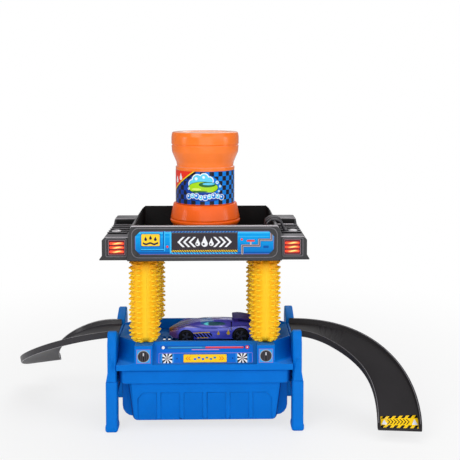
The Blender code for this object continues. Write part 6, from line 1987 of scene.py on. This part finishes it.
@dataclass
class Car:
    """Small low racing car, wider over its wheels."""

    nose: float = -0.0317
    length: float = 0.0757
    half_width: float = 0.0141
    base: float = 0.0680
    height: float = 0.0180
    front_axle: Point2 = (-0.0166, 0.0711)
    rear_axle: Point2 = (0.0309, 0.0719)
    front_radius: float = 0.0061
    rear_radius: float = 0.0069
    arch_gap: float = 0.0007
    wheel_width: float = 0.0042
    inner_half: float = 0.0079
    blade: tuple[Point3, ...] = (
        (0.0238, 0.0853, 0.0092), (0.0244, 0.0856, 0.0096), (0.0280, 0.0858, 0.0100),
        (0.0320, 0.0855, 0.0102), (0.0360, 0.0848, 0.0102), (0.0400, 0.0838, 0.0100),
        (0.0428, 0.0828, 0.0094),
    )
    blade_thickness: float = 0.0010
    stations: tuple[tuple[float, ...], ...] = (
        (0.00, 0.42, 0.40, 0.16, 0.34, 0.40, 0.25), (0.04, 0.62, 0.62, 0.06, 0.40, 0.48, 0.35),
        (0.12, 0.86, 0.90, 0.05, 0.52, 0.60, 0.48), (0.20, 0.96, 1.00, 0.05, 0.62, 0.70, 0.55),
        (0.30, 0.95, 0.97, 0.05, 0.61, 0.78, 0.50), (0.42, 0.90, 0.88, 0.05, 0.56, 0.84, 0.46),
        (0.55, 0.90, 0.88, 0.05, 0.56, 0.85, 0.44), (0.68, 0.92, 0.94, 0.05, 0.60, 0.84, 0.44),
        (0.80, 0.98, 1.00, 0.05, 0.66, 0.82, 0.48), (0.90, 0.98, 1.00, 0.06, 0.66, 0.80, 0.50),
        (0.97, 0.94, 0.94, 0.12, 0.62, 0.74, 0.50), (1.00, 0.84, 0.84, 0.24, 0.56, 0.66, 0.48),
    )
    fine_stations: int = 60
    bulges: tuple[Point2, Point2] = ((0.0062, 0.05), (0.0072, 0.03))
    crown: Point3 = (0.03, 0.62, 0.20)
    spoke_count: int = 5
    spoke_share: float = 0.66
    spoke_widths: Point2 = (0.00055, 0.0009)
    spoke_depths: Point2 = (0.0010, 0.0003)
    hub_radii: Point2 = (0.0013, 0.0010)
    arch_beyond: float = 0.002
    dome_middle: Point2 = (0.0083, 0.0798)
    dome_half: Point3 = (0.0165, 0.0066, 0.0047)
    dome_narrowing: float = 0.25
    blade_droop: float = 0.012
    strut_low: Point3 = (0.0252, 0.0058, 0.0800)
    strut_high: Point3 = (0.0290, 0.0068, 0.0853)
    bore: float = 0.0011
    dish: float = 0.0009

    def station(self, share: float) -> list[float]:
        """Values of a station at a share of the length, smoothly between those given."""
        rows = self.stations
        index = max(i for i, row in enumerate(rows[:-1]) if row[0] <= share)
        part = (share - rows[index][0]) / (rows[index + 1][0] - rows[index][0])
        near = (rows[min(max(index + k, 0), len(rows) - 1)][1:] for k in (-1, 0, 1, 2))
        return [spline(*values, part) for values in zip(*near)]

    def ring(self, share: float) -> list[Vector]:
        """Closed section of the body at a share of its length."""
        sill, shoulder, sill_z, shoulder_z, top_z, top = self.station(share)
        x = self.nose + self.length * share
        bulge = 0.0
        for axle, (span, rise) in zip((self.front_axle, self.rear_axle), self.bulges):
            bulge += rise * math.exp(-(((x - axle[0]) / span) ** 2))
        rise, middle, span = self.crown
        crown = top_z + rise * math.exp(-(((share - middle) / span) ** 2))
        half = [
            (0.0, sill_z),
            (sill * 0.7, sill_z),
            (sill - 0.03, sill_z + 0.01),
            (sill, sill_z + 0.06),
            ((sill + shoulder) / 2 - 0.02, sill_z + 0.20),
            (shoulder, (sill_z + shoulder_z) / 2 + 0.05),
            (shoulder, shoulder_z - 0.06),
            (shoulder - 0.04, shoulder_z + bulge),
            (shoulder - 0.14, shoulder_z + 0.015 + bulge),
            (shoulder - 0.24, shoulder_z - 0.015 + bulge * 0.4),
            (top + 0.10, (shoulder_z + top_z) / 2),
            (top, top_z - 0.02),
            (top * 0.6, crown),
            (0.0, crown + 0.01),
        ]
        ring = half + [(-y, z) for y, z in reversed(half[1:-1])]
        return [Vector((x, y * self.half_width, self.base + z * self.height)) for y, z in ring]

    def axles(self) -> Sequence[tuple[str, Point2, float]]:
        """Name, place and wheel radius of both axles."""
        return (
            ("front", self.front_axle, self.front_radius),
            ("rear", self.rear_axle, self.rear_radius),
        )

    def body(self) -> None:
        """Loft the body and cut its wheel arches."""
        shares = [step / self.fine_stations for step in range(self.fine_stations + 1)]
        mesh = loft("car_shell", [self.ring(share) for share in shares])
        paint = CarPaint().material()
        piece = new_piece("car_shell", mesh, "car", "car_paint", paint, ["car_body"], 40.0)
        work = bmesh.new()
        outer = self.half_width + self.arch_beyond
        for _, (x, z), radius in self.axles():
            for side in Side:
                middle = side.value * (self.inner_half + outer) / 2
                turn = Matrix.Translation((x, middle, z)) @ Matrix.Rotation(math.pi / 2, 4, "X")
                add_cylinder(work, turn, radius + self.arch_gap, outer - self.inner_half, 64)
        cut(piece, work, "arches")

    def canopy(self) -> None:
        """Dome of the cockpit, tinted from blue in front to dark behind."""
        work = bmesh.new()
        bmesh.ops.create_uvsphere(work, u_segments=48, v_segments=24, radius=1.0)
        middle_x, foot = self.dome_middle
        long, wide, high = self.dome_half
        for vert in work.verts:
            x, y, z = vert.co
            narrow = 1 - self.dome_narrowing * max(x, 0.0)
            vert.co = (middle_x + x * long, y * wide * narrow, foot + max(z, 0.0) * high)
        shader = Shader("car_glass")
        x, _, _ = shader.place()
        tint = shader.mix(x.ease(4.0, 7.0), srgb(0, 92, 170), srgb(70, 56, 140))
        shader.surface_values(
            Base_Color=tint,
            Roughness=0.12 + (shader.noise(2.0) - 0.5) * 0.06,
            Coat_Weight=0.5,
            Coat_Roughness=0.05,
        )
        mesh = mesh_from(work, "car_cockpit")
        new_piece("car_cockpit", mesh, "car", "car_glass", shader.material, ["car_canopy"])

    def spoiler(self) -> None:
        """Broad blade over the rear deck that curves down, on two struts."""
        rings = []
        for x, z, half in self.blade:
            section = rounded((half, self.blade_thickness / 2), self.blade_thickness * 0.45, 3)
            droop = self.blade_droop / half
            rings.append([Vector((x, y, z + up + droop * y**2)) for y, up in section])
        work = bmesh.new()
        work.from_mesh(loft("blade", rings))
        for side in Side:
            (x_low, *_, low), (x_high, *_, high) = self.strut_low, self.strut_high
            near, far = sorted(side.value * y for y in (self.strut_low[1], self.strut_high[1]))
            add_box(work, (x_low, near, low), (x_high, far, high), 0.0002)
        mesh = mesh_from(work, "car_wing")
        finish = SPOILER_PURPLE.material()
        new_piece("car_wing", mesh, "car", "car_paint", finish, ["car_spoiler"], 40.0)

    def wheels(self) -> None:
        """Turn the tyres, with a dished face and five spokes."""
        tyre = TYRE_BLACK.material()
        rim = RIM_GREY.material()
        for place, (x, z), radius in self.axles():
            inner, outer = self.half_width - self.wheel_width, self.half_width
            corners = [
                (self.bore, inner, 0.0), (radius, inner, 0.0006), (radius, outer, 0.0008),
                (radius * 0.70, outer, 0.0003), (radius * 0.64, outer - self.dish, 0.0002),
                (self.bore, outer - self.dish, 0.0),
            ]
            for side in Side:
                name = f"{place}_{words(side)}"
                stand = Matrix.Rotation(side.value * -math.pi / 2, 4, "X")
                spin = Matrix.Translation((x, 0.0, z)) @ stand
                axle = f"{place}_axle"
                mesh = lathe(f"tyre_{name}", fillet(corners), 64)
                mesh.transform(spin)
                stands_for = [f"car_wheel_{name}"]
                new_piece(f"tyre_{name}", mesh, axle, "tyre_plastic", tyre, stands_for)
                mesh = self.spokes(name, radius, outer, spin)
                new_piece(f"rim_{name}", mesh, axle, "tyre_plastic", rim)

    def spokes(self, name: str, radius: float, outer: float, spin: Matrix) -> Mesh:
        """Hub and five tapered spokes in the wheel's dish."""
        work = bmesh.new()
        low, high = (outer - depth for depth in self.spoke_depths)
        hub = Matrix.Translation((0.0, 0.0, (low + high) / 2))
        foot, tip = self.hub_radii
        size = {"segments": 24, "radius1": foot, "radius2": tip, "depth": high - low}
        bmesh.ops.create_cone(work, cap_ends=True, matrix=hub, **size)
        reaches = (0.0007, radius * self.spoke_share)
        for step in range(self.spoke_count):
            turn = Matrix.Rotation(math.tau * step / self.spoke_count, 4, "Z")
            corners = [
                work.verts.new(turn @ Vector((along, across, height)))
                for along, half in zip(reaches, self.spoke_widths)
                for across in (-half, half)
                for height in (low, high - 0.0002)
            ]
            for face in ("0132", "4675", "0451", "2376", "1573", "0264"):
                work.faces.new([corners[int(corner)] for corner in face])
        mesh = mesh_from(work, f"rim_{name}")
        mesh.transform(spin)
        return mesh

    def build(self) -> None:
        """Make the car's pieces."""
        self.body()
        self.canopy()
        self.wheels()
        self.spoiler()
        moulded("car_chassis", "car", "chassis_plastic", CHASSIS_BLACK.material(), 0.0003)
        steel = AXLE_GREY.material()
        for place in ("front", "rear"):
            moulded(f"car_axle_{place}", f"{place}_axle", "axle_steel", steel, 0.0001)


def main() -> None:
    """Dress the whole set."""
    logging.basicConfig(level=logging.INFO, format="%(message)s")
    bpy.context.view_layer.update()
    Studio().build()
    for part in (Deck(), BrushRollers(), Roof(), Hose(), Jar(), Ramps(), Car()):
        part.build()
        log.info("%s done", type(part).__name__)


if __name__ == "__main__":
    main()
